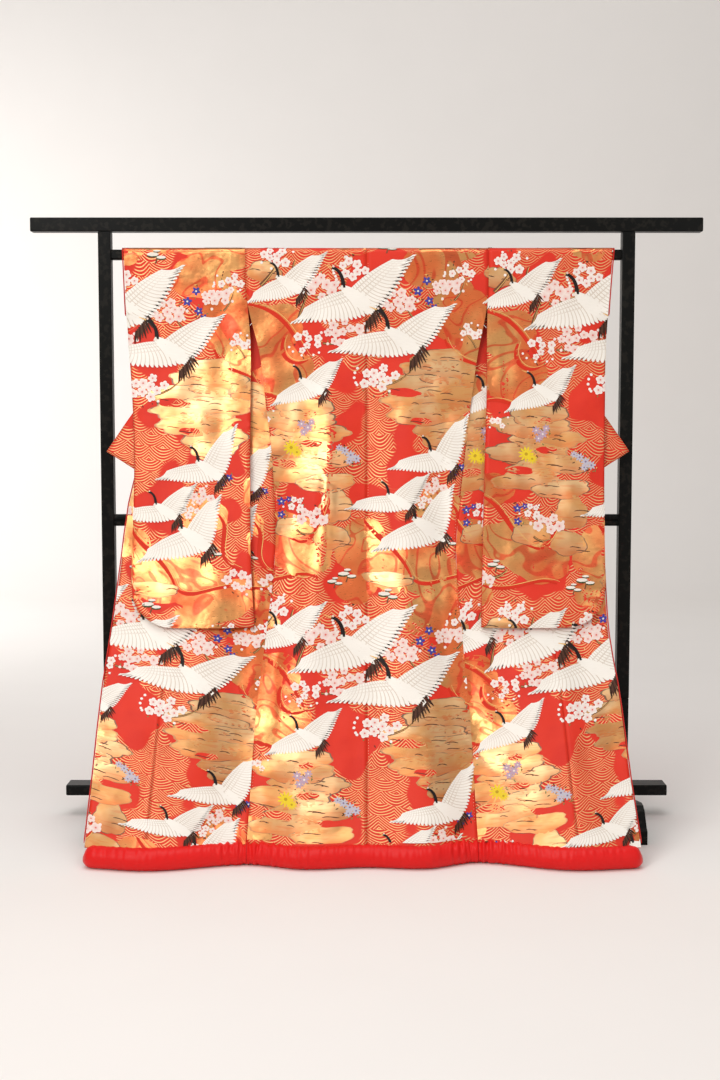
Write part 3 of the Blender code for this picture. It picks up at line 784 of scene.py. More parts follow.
def ribbon(line, widths, lift, tint):
    """A strip along a line of (x, depth) points. Widths are read evenly along it."""
    rows = []
    for index, (x, depth) in enumerate(line):
        before, after = line[max(0, index - 1)], line[min(len(line) - 1, index + 1)]
        run, drop = after[0] - before[0], after[1] - before[1]
        length = math.hypot(run, drop) or 1.0
        place = index / (len(line) - 1) * (len(widths) - 1)
        first = min(int(place), len(widths) - 2)
        half = lerp(widths[first], widths[first + 1], place - first) / 2
        across = (-drop / length * half, run / length * half)
        rows.append([point(x - across[0], depth - across[1], lift, tint),
                     point(x + across[0], depth + across[1], lift, tint)])
    FIGURES.append(Figure(KIND_THREAD).grid(rows))


def curve(points, widths, lift, tint, step=0.010):
    """A smooth ribbon whose ends and pull are given by a few points."""
    length = sum(math.dist(p, q) for p, q in zip(points, points[1:]))
    count = max(3, round(length / step))
    ribbon([bezier(points, i / count) for i in range(count + 1)], widths, lift, tint)


def round_shape(x, depth, radius, outline, lift, tint, heart=None, kind=KIND_THREAD, steps=30,
                rings=2, stretch=(1.0, 1.0), turn=0.0):
    """A shape round a centre. Outline gives the radius share at an angle, 0 to 1 round."""
    made = []
    for ring in range(1, rings + 1):
        part = ring / rings
        colour = tuple(lerp(h, c, smooth(part * 1.15)) for h, c in zip(heart or tint, tint))
        row = []
        for step in range(steps):
            share = step / steps
            angle = 2 * math.pi * share
            reach = radius * part * outline(share)
            px, py = math.cos(angle) * reach * stretch[0], math.sin(angle) * reach * stretch[1]
            cx, cy = math.cos(turn), math.sin(turn)
            row.append(point(x + px * cx - py * cy, depth + px * cy + py * cx, lift, colour,
                             (share, part, 0.5 + 0.5 * part * math.sin(angle))))
        made.append(row)
    centre = point(x, depth, lift, heart or tint, (0.0, 0.0, 0.5))
    FIGURES.append(Figure(kind).rings(centre, made))


BONE_BOW = ((0.28, 0.10), (0.68, 0.09))        # share of the way, outward share of the span
TRAILING_BOW = ((0.30, -0.20), (0.70, 0.01))   # the same, from the tail's root
WING_ROW = 0.012 / 0.42                        # how far the grid's rows are apart, as a span


def wing(shoulder, tip, root, side, feathers, lift):
    """A spread wing: feathers from a bowed bone to a line from the tail's root out to the tip."""
    run, drop = tip[0] - shoulder[0], tip[1] - shoulder[1]

    def out(start, share, bulge):
        return (lerp(start[0], tip[0], share) + drop * side * bulge,
                lerp(start[1], tip[1], share) - run * side * bulge)

    bone = [shoulder] + [out(shoulder, *bow) for bow in BONE_BOW]
    low = [root] + [out(root, *bow) for bow in TRAILING_BOW] + [tip]
    per, steps_out = 3, max(5, round(math.hypot(run, drop) / WING_ROW))
    columns = []
    for column in range(feathers * per + 1):
        t = column / (feathers * per)
        near, far = bezier(bone, t), bezier(low, t ** 0.94)
        run, drop = far[0] - near[0], far[1] - near[1]
        part = (column % per) / per
        reach = 1.0 - lerp(0.10, 0.19, t) * abs(2 * part - 1) ** 2.0
        spots = []
        for step in range(steps_out + 1):
            r = step / steps_out
            bend = 0.40 * r * (1.0 - r) * side
            spots.append(point(near[0] + run * r * reach - drop * bend,
                               near[1] + drop * r * reach + run * bend,
                               lift, ANY, (t * feathers, r, 1.0 - 0.78 * t * t)))
        columns.append(spots)
    FIGURES.append(Figure(KIND_FEATHER).grid(columns))


def crane(neck, tail, left_tip, right_tip, lift=0.0):
    """A flying crane: neck foot, tail, and both wing tips, as (x, depth)."""
    size = math.dist(neck, tail)
    ax, ay = (tail[0] - neck[0]) / size, (tail[1] - neck[1]) / size

    def on_body(along, across=0.0, start=neck):
        """A place on the body, in shares of its length."""
        return (start[0] + (ax * along - ay * across) * size,
                start[1] + (ay * along + ax * across) * size)

    def beside(x, depth, start=neck):
        return start[0] + x * size, start[1] + depth * size

    def line(bends, widths, rise, tint):
        curve(bends, [size * width for width in widths], LIFT_NECK + lift + rise, tint, 0.006)

    wing(on_body(0.10), left_tip, on_body(0.90), -1, 20, LIFT_WING + lift)
    wing(on_body(0.16, -0.04), right_tip, on_body(0.90), 1, 18, LIFT_WING + lift + 0.00012)
    # tail: dark ragged feathers under the body's end
    for index in range(9):
        share = index / 8
        root = on_body(-0.10, lerp(-0.16, 0.26, share), tail)
        angle = math.atan2(ay, ax) + lerp(0.25, 1.05, share)
        reach = size * lerp(0.30, 0.36, math.sin(math.pi * share)) * (0.85 if index % 2 else 1.0)
        far = (root[0] + math.cos(angle) * reach, root[1] + math.sin(angle) * reach)
        middle = (lerp(root[0], far[0], 0.5), lerp(root[1], far[1], 0.5))
        shade = tuple(c * (1.0 if index % 2 else 0.45) for c in BROWN)
        ribbon([root, middle, far], [size * 0.050, size * 0.055, size * 0.012],
               LIFT_BODY + lift + 0.00002 * index, shade)
    # body: a long drop from the neck's foot to the tail
    rows = []
    for step in range(10):
        share = step / 9
        half = 0.045 + 0.115 * math.sin(math.pi * min(1.0, share * 0.92 + 0.04)) ** 0.9
        rows.append([point(*on_body(share, half * across), LIFT_BODY + lift)
                     for across in (-1.0, -0.5, 0.0, 0.5, 1.0)])
    FIGURES.append(Figure(KIND_FEATHER).grid(rows))
    # neck, head, beak and crown
    head = beside(-0.24, -0.44)
    line([on_body(0.02), beside(0.03, -0.22), beside(0.16, 0.02, head), head],
         (0.100, 0.080, 0.072, 0.066), 0.0, BLACK)
    line([beside(-0.02, 0.05), beside(-0.01, -0.04)], (0.10, 0.03), 0.0001, WHITE)
    line([head, beside(-0.17, -0.07, head)], (0.035, 0.010), 0.0, GOLD_LINE)
    dot(*beside(0.035, -0.028, head), size * 0.028, LIFT_NECK + lift + 0.0001, CROWN)


def dot(x, depth, radius, lift, tint, steps=8):
    round_shape(x, depth, radius, lambda share: 1.0, lift, tint, steps=steps, rings=1)


def blossom(x, depth, radius, turn, tint, lift=0.0):
    """A five-petalled plum blossom with a darker heart."""
    def petals(share):
        return 0.58 + 0.42 * abs(math.cos(math.pi * (share * 5 + turn))) ** 0.55

    heart = tuple(lerp(c, h, 0.42) for c, h in zip(tint, BLOSSOM_HEART))
    round_shape(x, depth, radius, petals, LIFT_BLOSSOM + lift, tint, heart, steps=25, rings=2)
    dot(x, depth, radius * 0.17, LIFT_BLOSSOM + lift + HEART_LIFT, BLOSSOM_HEART, 6)


def cluster(x, depth, count, spread, radius, tint, seed):
    """Blossoms and buds packed round a place."""
    chance = random.Random(seed)
    placed_at = []
    for _ in range(400):
        if len(placed_at) == count:
            break
        angle, reach = chance.uniform(0, 2 * math.pi), spread * math.sqrt(chance.random())
        px, py = x + math.cos(angle) * reach * 1.25, depth + math.sin(angle) * reach * 0.8
        size = radius * chance.uniform(0.8, 1.12)
        if all(math.hypot(px - qx, py - qy) > (size + q) * 0.72 for qx, qy, q in placed_at):
            placed_at.append((px, py, size))
    for index, (px, py, size) in enumerate(placed_at):
        blossom(px, py, size, chance.random(), tint, 0.00004 * index)
    for _ in range(count // 2 + 2):
        angle = chance.uniform(0, 2 * math.pi)
        px, py = x + math.cos(angle) * spread * 1.6, depth + math.sin(angle) * spread * 1.15
        dot(px, py, radius * 0.30, LIFT_BLOSSOM, tint)


def star_flower(x, depth, radius, petals, tint, heart, turn, lift):
    """A flower with pointed petals."""
    def outline(share):
        return 0.45 + 0.55 * abs(math.cos(math.pi * (share * petals + turn))) ** 1.3

    round_shape(x, depth, radius, outline, LIFT_BLOSSOM + lift, tint, steps=petals * 5, rings=2)
    dot(x, depth, radius * 0.22, LIFT_BLOSSOM + lift + HEART_LIFT, heart, 6)


def leaves(x, depth, count, spread, seed):
    """Small dark and green dabs round flowers."""
    chance = random.Random(seed)
    for index in range(count):
        angle = chance.uniform(0, 2 * math.pi)
        px = x + math.cos(angle) * spread * chance.uniform(0.6, 1.1)
        py = depth + math.sin(angle) * spread
        turn = chance.uniform(0, math.pi)
        length = chance.uniform(0.004, 0.008)
        tint = (GREEN, BROWN, (0.02, 0.03, 0.02), GOLD_LINE)[index % 4]
        far = (px + math.cos(turn) * length, py + math.sin(turn) * length)
        curve([(px, py), far], [0.0016, 0.0034, 0.0012], LIFT_BRANCH, tint, step=0.004)


PINE_TIERS = ((0.0, 0.0, 0.62), (-0.30, 0.30, 1.0), (0.34, 0.52, 0.8))     # aside, down, width


def snow_pine(x, depth, wide):
    """Three flat tiers of a pine, each under a cap of snow."""
    for tier, (shift, drop, share) in enumerate(PINE_TIERS):
        half = wide * share / 2
        cx, cy = x + wide * shift, depth + wide * drop
        round_shape(cx, cy + half * 0.22, half,
                    lambda share: 0.9 + 0.1 * math.cos(2 * math.pi * share * 9),
                    LIFT_BRANCH + 0.00002 * tier, NEEDLES, steps=27, stretch=(1.0, 0.34))
        round_shape(cx, cy, half, lambda share: 0.9 + 0.1 * abs(math.cos(math.pi * share * 7)),
                    LIFT_BLOSSOM + 0.00002 * tier, WHITE, steps=28, stretch=(0.92, 0.30))
    curve([(x, depth), (x + wide * 0.1, depth + wide * 0.5), (x - wide * 0.1, depth + wide * 1.0)],
          [wide * 0.06, wide * 0.11], LIFT_BRANCH, BRANCH)


def lobed(x, depth, wide, tall, lobes, seed, kind, lift):
    """A long flat shape with rounded lobes, as drawn clouds and banks have."""
    chance = random.Random(seed)
    phase, second = chance.random(), chance.random()

    def outline(share):
        wave = abs(math.sin(math.pi * (share * lobes + phase)))
        slow = math.sin(2 * math.pi * (share * 3 + second))
        return 0.84 + 0.16 * wave ** 0.7 + 0.06 * slow

    rings = max(3, round(wide / 0.018))
    steps = max(24, round(2 * math.pi * wide / 0.020))
    round_shape(x, depth, 1.0, outline, lift, ANY, kind=kind, steps=steps, rings=rings,
                stretch=(wide, tall), turn=chance.uniform(-0.07, 0.07))


CRANES = (  # neck, tail, left wing tip, right wing tip
    ((-0.244, 0.074), (-0.172, 0.120), (-0.335, 0.150), (-0.102, 0.004)),
    ((-0.066, 0.103), (0.030, 0.176), (-0.214, 0.206), (0.140, 0.012)),
    ((0.056, 0.216), (0.150, 0.286), (-0.112, 0.284), (0.252, 0.146)),
    ((-0.182, 0.354), (-0.112, 0.396), (-0.268, 0.432), (-0.062, 0.296)),
    ((0.172, 0.553), (0.244, 0.606), (0.052, 0.606), (0.284, 0.446)),
    ((0.058, 0.672), (0.124, 0.714), (-0.066, 0.716), (0.176, 0.612)),
    ((0.128, 0.738), (0.214, 0.800), (0.008, 0.836), (0.242, 0.640)),
)
CLUSTER_SEED, STAR_SEED, FIELD_SEED, CLOUD_SEED, MARK_SEED = 1, 21, 51, 71, 101   # of each first row
CLUSTERS = (  # x, depth, count, spread, radius, pale
    (-0.245, 0.020, 7, 0.030, 0.0130, 1),
    (-0.128, 0.104, 9, 0.034, 0.0150, 0),
    (-0.040, 0.056, 7, 0.032, 0.0135, 1),
    (-0.164, 0.254, 7, 0.032, 0.0115, 1),
    (-0.060, 0.226, 11, 0.040, 0.0140, 0),
    (0.086, 0.142, 9, 0.034, 0.0145, 0),
    (0.222, 0.104, 7, 0.028, 0.0135, 0),
    (0.256, 0.062, 6, 0.026, 0.0110, 1),
    (0.282, 0.226, 5, 0.022, 0.0110, 1),
    (0.030, 0.348, 9, 0.040, 0.0135, 1),
    (-0.152, 0.736, 6, 0.028, 0.0140, 0),
    (0.188, 0.648, 5, 0.024, 0.0130, 0),
    (0.150, 0.690, 4, 0.018, 0.0110, 1),
    (-0.196, 0.700, 4, 0.020, 0.0100, 1),
    (-0.284, 0.452, 3, 0.020, 0.0100, 1),
    (0.300, 0.880, 8, 0.034, 0.0130, 0),
)
STARS = (  # x, depth, radius, petals, colour index
    (0.165, 0.086, 0.0125, 5, 0),
    (0.141, 0.114, 0.0135, 5, 0),
    (0.172, 0.140, 0.0125, 5, 0),
    (0.186, 0.160, 0.0120, 5, 0),
    (-0.232, 0.692, 0.0125, 5, 0),
    (-0.212, 0.686, 0.0090, 5, 0),
    (-0.232, 0.728, 0.0115, 5, 0),
    (0.238, 0.612, 0.0120, 5, 0),
    (0.259, 0.598, 0.0110, 5, 0),
    (-0.206, 0.543, 0.0220, 11, 1),
    (-0.190, 0.556, 0.0150, 11, 1),
    (-0.178, 0.478, 0.0125, 7, 2),
    (-0.160, 0.488, 0.0135, 7, 2),
    (-0.172, 0.500, 0.0120, 7, 2),
    (-0.150, 0.472, 0.0110, 7, 2),
    (-0.060, 0.552, 0.0125, 7, 3),
    (-0.044, 0.564, 0.0135, 7, 3),
    (-0.028, 0.574, 0.0130, 7, 3),
    (-0.048, 0.580, 0.0110, 7, 3),
    (-0.075, 0.544, 0.0105, 7, 3),
)
STAR_TINTS = ((BLUE, (0.80, 0.72, 0.60)), (YELLOW, (0.55, 0.34, 0.02)), (LILAC, (0.85, 0.75, 0.70)),
              ((0.56, 0.52, 0.60), (0.25, 0.18, 0.30)))
BRANCHES = (  # x, depth, bend x, bend depth, x, depth, width
    (-0.290, 0.098, -0.262, 0.070, -0.252, 0.050, 0.011),
    (-0.196, 0.075, -0.206, 0.050, -0.196, 0.030, 0.009),
    (-0.188, 0.195, -0.176, 0.150, -0.160, 0.120, 0.008),
    (-0.140, 0.130, -0.110, 0.132, -0.070, 0.112, 0.006),
    (-0.120, 0.256, -0.086, 0.262, -0.040, 0.250, 0.006),
    (0.030, 0.372, 0.090, 0.372, 0.128, 0.325, 0.007),
    (0.128, 0.325, 0.138, 0.300, 0.132, 0.290, 0.010),
    (0.140, 0.192, 0.118, 0.186, 0.108, 0.150, 0.006),
    (0.240, 0.140, 0.262, 0.118, 0.268, 0.088, 0.006),
    (0.300, 0.270, 0.292, 0.250, 0.276, 0.236, 0.005),
    (-0.190, 0.770, -0.170, 0.790, -0.140, 0.776, 0.006),
    (0.196, 0.680, 0.188, 0.700, 0.160, 0.706, 0.006),
    (-0.320, 0.880, -0.290, 0.890, -0.262, 0.860, 0.010),
)
PINES = (  # x, depth, width
    (-0.052, 0.880, 0.034),
    (-0.085, 0.902, 0.028),
    (0.058, 0.935, 0.036),
    (0.222, 0.792, 0.030),
    (-0.292, 0.836, 0.032),
)
FIELDS = (  # orange banks: x, depth, half width, half height, lobes
    (-0.255, 0.215, 0.085, 0.075, 5),
    (-0.235, 0.330, 0.100, 0.075, 6),
    (0.180, 0.045, 0.085, 0.070, 5),
    (0.255, 0.170, 0.085, 0.095, 6),
    (0.285, 0.300, 0.060, 0.060, 5),
    (-0.240, 0.785, 0.105, 0.070, 6),
    (-0.170, 0.850, 0.085, 0.050, 5),
    (0.110, 0.875, 0.150, 0.070, 7),
    (-0.010, 0.820, 0.075, 0.085, 5),
    (0.235, 0.930, 0.120, 0.060, 6),
    (-0.030, 0.930, 0.060, 0.045, 5),
    (0.190, 0.700, 0.070, 0.050, 5),
    (-0.300, 0.640, 0.060, 0.050, 5),
)
CLOUDS = (  # gold banks: x, depth, half width, half height, lobes
    (0.195, 0.302, 0.075, 0.033, 6),
    (0.205, 0.334, 0.115, 0.036, 8),
    (0.150, 0.372, 0.118, 0.033, 8),
    (0.185, 0.410, 0.150, 0.038, 9),
    (0.170, 0.450, 0.120, 0.033, 8),
    (0.220, 0.485, 0.095, 0.036, 7),
    (0.215, 0.520, 0.070, 0.031, 6),
    (0.300, 0.360, 0.045, 0.031, 5),
    (-0.170, 0.436, 0.085, 0.031, 6),
    (-0.190, 0.468, 0.115, 0.033, 8),
    (-0.150, 0.504, 0.110, 0.031, 8),
    (-0.205, 0.540, 0.120, 0.033, 8),
    (-0.140, 0.576, 0.120, 0.031, 8),
    (-0.200, 0.612, 0.105, 0.031, 7),
    (-0.110, 0.640, 0.085, 0.028, 6),
    (-0.085, 0.705, 0.048, 0.050, 6),
    (-0.095, 0.790, 0.052, 0.036, 5),
    (-0.200, 0.765, 0.055, 0.030, 5),
    (0.060, 0.905, 0.075, 0.022, 6),
    (-0.280, 0.060, 0.050, 0.030, 5),
)
RED_MARKS = (  # red patches let into the banks, as above
    (0.105, 0.392, 0.045, 0.013, 5),
    (0.290, 0.452, 0.026, 0.012, 5),
    (-0.150, 0.532, 0.030, 0.010, 5),
    (-0.225, 0.588, 0.040, 0.012, 5),
    (-0.095, 0.606, 0.030, 0.010, 5),
    (-0.155, 0.450, 0.020, 0.008, 5),
    (0.150, 0.470, 0.030, 0.010, 5),
)
STREAMS = (  # red bands round the banks: x, depth, x, depth, x, depth, x, depth, width
    (-0.325, 0.150, -0.230, 0.160, -0.200, 0.235, -0.165, 0.290, 0.012),
    (-0.225, 0.240, -0.250, 0.290, -0.200, 0.330, -0.160, 0.300, 0.012),
    (-0.325, 0.400, -0.260, 0.380, -0.240, 0.425, -0.180, 0.412, 0.010),
    (0.215, 0.245, 0.235, 0.310, 0.290, 0.300, 0.330, 0.330, 0.011),
    (-0.325, 0.660, -0.260, 0.690, -0.250, 0.780, -0.190, 0.800, 0.014),
    (-0.190, 0.800, -0.150, 0.820, -0.120, 0.740, -0.110, 0.690, 0.012),
    (-0.010, 0.740, 0.030, 0.800, 0.090, 0.820, 0.120, 0.900, 0.014),
    (0.120, 0.900, 0.160, 0.950, 0.230, 0.870, 0.325, 0.905, 0.013),
    (-0.325, 0.905, -0.250, 0.930, -0.190, 0.870, -0.130, 0.900, 0.013),
    (0.230, 0.700, 0.280, 0.740, 0.200, 0.820, 0.290, 0.850, 0.012),
)


def draw_design():
    for seed, row in enumerate(FIELDS, FIELD_SEED):
        lobed(*row, seed, KIND_STREAM, LIFT_FIELD)
    for index, row in enumerate(CLOUDS):
        lobed(*row, CLOUD_SEED + index, KIND_CLOUD, LIFT_CLOUD + 0.00002 * (index % 5))
        cloud_lines(*row[:4], CLOUD_SEED + index)
    for seed, row in enumerate(RED_MARKS, MARK_SEED):
        lobed(*row, seed, KIND_GROUND, LIFT_CLOUD + 0.00015)
    for x0, d0, x1, d1, x2, d2, x3, d3, width in STREAMS:
        bends = [(x0, d0), (x1, d1), (x2, d2), (x3, d3)]
        curve(bends, [width * 0.5, width, width * 0.8, width * 0.4], LIFT_FIELD + 0.00015, VERMILION)
        moved = [(x + 0.008, depth - 0.006) for x, depth in bends]
        curve(moved, [0.0012, 0.0020, 0.0012], LIFT_FIELD + 0.00025, GOLD_LINE)
    for x0, d0, x1, d1, x2, d2, width in BRANCHES:
        bends = [(x0, d0), (x1, d1), (x2, d2)]
        curve(bends, [width, width * 0.8, width * 0.3], LIFT_BRANCH, BRANCH)
        beside = [(x + width * 0.15, depth) for x, depth in bends]
        curve(beside, [width * 0.15] * 2, LIFT_BRANCH + 0.0001, GOLD_LINE)
    for seed, (x, depth, count, spread, radius, pale) in enumerate(CLUSTERS, CLUSTER_SEED):
        cluster(x, depth, count, spread, radius, BLOSSOM_PALE if pale else BLOSSOM, seed)
        leaves(x, depth, 6, spread * 1.3, seed + 200)
    for seed, (x, depth, radius, petals, colour) in enumerate(STARS, STAR_SEED):
        tint, heart = STAR_TINTS[colour]
        star_flower(x, depth, radius, petals, tint, heart, seed * 0.37 % 1.0, 0.00006 * (seed % 5))
        leaves(x, depth, 5, radius * 1.4, seed + 300)
    for row in PINES:
        snow_pine(*row)
    for index, row in enumerate(CRANES):
        crane(*row, lift=0.00045 * (index % 3))


def cloud_lines(x, depth, wide, tall, seed):
    """Broken dark strokes on a bank."""
    chance = random.Random(seed + 500)
    for _ in range(max(2, round(wide / 0.035))):
        start = x + chance.uniform(-0.85, 0.55) * wide
        level = depth + chance.uniform(-0.2, 0.75) * tall
        length = chance.uniform(0.018, 0.045)
        rise = chance.uniform(-0.004, 0.005)
        bends = [(start, level), (start + length * 0.3, level - 0.005),
                 (start + length * 0.7, level + rise), (start + length, level + 0.002)]
        curve(bends, [0.0010, 0.0026, 0.0016, 0.0030, 0.0008], LIFT_MARK, BROWN, step=0.008)


draw_design()


# ---- laying the design on a panel ------------------------------------------------------------
def clipped(ring, axis, limit, sign):
    """A polygon cut off at a limit of one of its coordinates."""
    kept = []
    for here, after in zip(ring, ring[1:] + ring[:1]):
        inside, next_inside = sign * here[axis] <= sign * limit, sign * after[axis] <= sign * limit
        if inside:
            kept.append(here)
        if inside != next_inside:
            share = (limit - here[axis]) / (after[axis] - here[axis])
            kept.append(tuple(lerp(p, q, share) for p, q in zip(here, after)))
    return kept


def lay_design(name, panel, locate, region, low):
    """Lays the repeat over a panel, "low" above it. locate turns a place in the cloth into (a, b)."""
    (a0, a1), (b0, b1) = region
    spots = [panel.cloth(a, b) for a in (a0, (a0 + a1) / 2, a1) for b in spaced(b0, b1, (b1 - b0) / 6)]
    u0, u1 = min(s[0] for s in spots) - TILE_EDGE, max(s[0] for s in spots) + TILE_EDGE
    v0, v1 = min(s[1] for s in spots) - TILE_EDGE, max(s[1] for s in spots) + TILE_EDGE
    points, faces, kinds, feather, tints, uvs = [], [], [], [], [], []

    def keep(spot):
        a, b, u, v, lift, fx, fy, fz, red, green, blue = spot
        points.append(panel.at(a, b, lift + low))
        feather.extend((fx, fy, fz))
        tints.extend((red, green, blue, 1.0))
        uvs.append((u, v))
        return len(points) - 1

    for figure in FIGURES:
        xs, ys = [p[0] for p in figure.points], [p[1] for p in figure.points]
        low_x, high_x, low_y, high_y = min(xs), max(xs), min(ys), max(ys)
        for i in range(math.floor((u0 - high_x) / TILE_X), math.ceil((u1 - low_x) / TILE_X) + 1):
            for j in range(math.floor((v0 - high_y) / TILE_Y), math.ceil((v1 - low_y) / TILE_Y) + 1):
                du, dv = i * TILE_X, j * TILE_Y
                if high_x + du < u0 or low_x + du > u1 or high_y + dv < v0 or low_y + dv > v1:
                    continue
                spots, inside = [], []
                for x, y, *rest in figure.points:
                    a, b = locate(x + du, y + dv)
                    spots.append((a, b, x + du, y + dv, *rest))
                    inside.append(a0 <= a <= a1 and b0 <= b <= b1)
                if not any(inside):
                    continue
                index_of = {}
                for ring in figure.faces:
                    count = sum(inside[k] for k in ring)
                    if count == 0:
                        continue
                    if count == len(ring):
                        made = []
                        for k in ring:
                            if k not in index_of:
                                index_of[k] = keep(spots[k])
                            made.append(index_of[k])
                    else:
                        cut = [spots[k] for k in ring]
                        for axis, limit, sign in ((0, a0, -1), (0, a1, 1), (1, b0, -1), (1, b1, 1)):
                            cut = clipped(cut, axis, limit, sign)
                            if len(cut) < 3:
                                break
                        if len(cut) < 3:
                            continue
                        made = [keep(spot) for spot in cut]
                    faces.append(made)
                    kinds.append(figure.kind)
    mesh = new_mesh(name, points, faces, 0, kinds, uvs)
    mesh.attributes.new("feather", "FLOAT_VECTOR", "POINT").data.foreach_set("vector", feather)
    mesh.attributes.new("tint", "FLOAT_COLOR", "POINT").data.foreach_set("color", tints)
    return finished(name, mesh, FIGURE_MATERIALS)


# ---- the back --------------------------------------------------------------------------------
TUCK_IN = 0.012                        # how far the cloth goes down into the hem roll
DEPTHS = WRAP_ROWS + spaced(WRAP_DEPTH, CLOTH_LENGTH, GRID) + [CLOTH_LENGTH + TUCK_IN]
BACK_SHIFT = -0.022                    # how far the repeat's top is off the rail's top
BACK_ACROSS = spaced(0.0, 1.0, GRID / 0.28)


def build_back(word, side):
    def place(a, depth):
        return on_back(side * back_half(side, depth) * a, depth)

    def cloth(a, depth):
        return side * back_half(side, depth) * a, depth + BACK_SHIFT

    def locate(u, v):
        depth = v - BACK_SHIFT
        return side * u / back_half(side, depth), depth

    panel = Panel(place, cloth, BACK_ACROSS, DEPTHS, -side)
    piece = shell("cloth_back_" + word, panel, BROCADE, (GROUND, LINING_SILK),
                  ["back_" + word])
    region = ((0.0, 1.0), (DEPTHS[0], CLOTH_LENGTH))
    art = lay_design("figures_back_" + word, panel, locate, region, BROCADE / 2)


# ---- the fronts ------------------------------------------------------------------------------
SKIRT_TOP, SKIRT_STEP = SKIRT_ROWS[0][0], 0.08


def front_rows(side):
    rows = []
    for depth, share in COLLAR_ROWS[:-1]:
        fold = (NECK_HALF + FOLD_SLOPE * depth, depth)
        rows.append((fold, collar_seam(side, share), share))
    for depth in spaced(SKIRT_TOP, CLOTH_LENGTH, SKIRT_STEP):
        edge_depth = read(SKIRT_ROWS, depth, 1)
        tuck = FOLD_TUCK * (1.0 - smooth((depth - SKIRT_TOP) / SKIRT_STEP))
        fold = (side_half(side, depth) + SEAM - tuck, depth)
        rows.append((fold, (edge_half(side, edge_depth), edge_depth), 1.0))
    fold, edge, share = rows[-1]
    rows.append(((fold[0], fold[1] + TUCK_IN), (edge[0], edge[1] + TUCK_IN), share))
    return rows


FRONT_LAYS = {  # how the repeat lies on each front: width, sway, start, top, slant, height
    -1: (1.00, 0.025, 0.536, -0.224, 0.221, 1.11),
    1: (1.03, 0.038, -0.511, -0.122, 0.200, 1.03),
}


class Front:
    """An opened front with its overlap panel. b counts the cross rows."""

    def __init__(self, side):
        self.side, self.rows = side, front_rows(side)
        self.last = len(self.rows) - 1

    def row(self, b):
        index = min(max(int(b), 0), self.last - 1)
        t = b - index
        (fold0, edge0, share0), (fold1, edge1, share1) = self.rows[index], self.rows[index + 1]
        fold = (lerp(fold0[0], fold1[0], t), lerp(fold0[1], fold1[1], t))
        edge = (lerp(edge0[0], edge1[0], t), lerp(edge0[1], edge1[1], t))
        return fold, edge, min(1.0, lerp(share0, share1, t))

    def split(self, share):
        return 1.0 - OKUMI_SHARE * smooth((share - OKUMI_POINT) / (1.0 - OKUMI_POINT))

    def flat(self, a, b):
        fold, edge, _ = self.row(b)
        return lerp(fold[0], edge[0], a), lerp(fold[1], edge[1], a)

    def find(self, x, depth):
        low, high = -1.5, self.last + 1.5
        for _ in range(14):
            b = (low + high) / 2
            fold, edge, _share = self.row(b)
            a = (x - fold[0]) / (edge[0] - fold[0])
            if lerp(fold[1], edge[1], a) < depth:
                low = b
            else:
                high = b
        return a, b

    @staticmethod
    def swayed(depth):
        """The share of the sway that the skirt has, from none above its spread to all below."""
        return smooth((depth - 1.05) / 0.28)

    def cloth_of(self, x, depth):
        wide, sway, start, first, slant, tall = FRONT_LAYS[self.side]
        u = self.side * (wide * x - sway * self.swayed(depth)) + start
        return u, first + slant * x + tall * depth

    def from_cloth(self, u, v):
        """cloth_of solved for x and depth."""
        wide, sway, start, first, slant, tall = FRONT_LAYS[self.side]
        depth = v
        for _ in range(6):
            x = (self.side * (u - start) + sway * self.swayed(depth)) / wide
            depth = (v - first - slant * x) / tall
        return x, depth


def build_front(word, side):
    front = Front(side)

    def make(name, lining_name, first_row, first, last, columns):
        """first and last give the panel's two edges as shares of the row."""
        rows = [b for b in spaced(0.0, front.last, 0.13) if b >= first_row]

        def across(a, b):
            share = front.row(b)[2]
            return lerp(first(share), last(share), a)

        def place(a, b):
            x, depth = front.flat(across(a, b), b)
            return on_front(side * x, depth)

        def cloth(a, b):
            return front.cloth_of(*front.flat(across(a, b), b))

        def locate(u, v):
            a, b = front.find(*front.from_cloth(u, v))
            share = front.row(min(max(b, 0.0), front.last))[2]
            start, stop = first(share), last(share)
            return (a - start) / max(stop - start, 1e-4), b

        panel = Panel(place, cloth, spaced(0.0, 1.0, 1.0 / columns), rows, -side)
        piece = shell("cloth_" + name, panel, BROCADE, (GROUND, LINING_SILK), [name])
        region = ((0.0, 1.0), (max(rows[0], 5.0), front.last))
        art = lay_design("figures_" + name, panel, locate, region, BROCADE / 2)
        back = shell("cloth_" + lining_name, panel, LINING, (LINING_SILK, LINING_SILK),
                     [lining_name], LINING_SHIFT)
        return piece, art, back

    gap = 0.00005       # as a share of the row, between the front and its overlap
    front_pieces = make("front_" + word, "lining_front_" + word, 0.0,
                        lambda share: 0.0, lambda share: front.split(share) - gap, 26)
    okumi_pieces = make("okumi_" + word, "lining_okumi_" + word, 2.2,
                        lambda share: front.split(share) + gap, lambda share: 1.0, 18)
    return front


SHOULDER_SHIFT = (0.20, 0.30)          # where the front shoulders are in the repeat


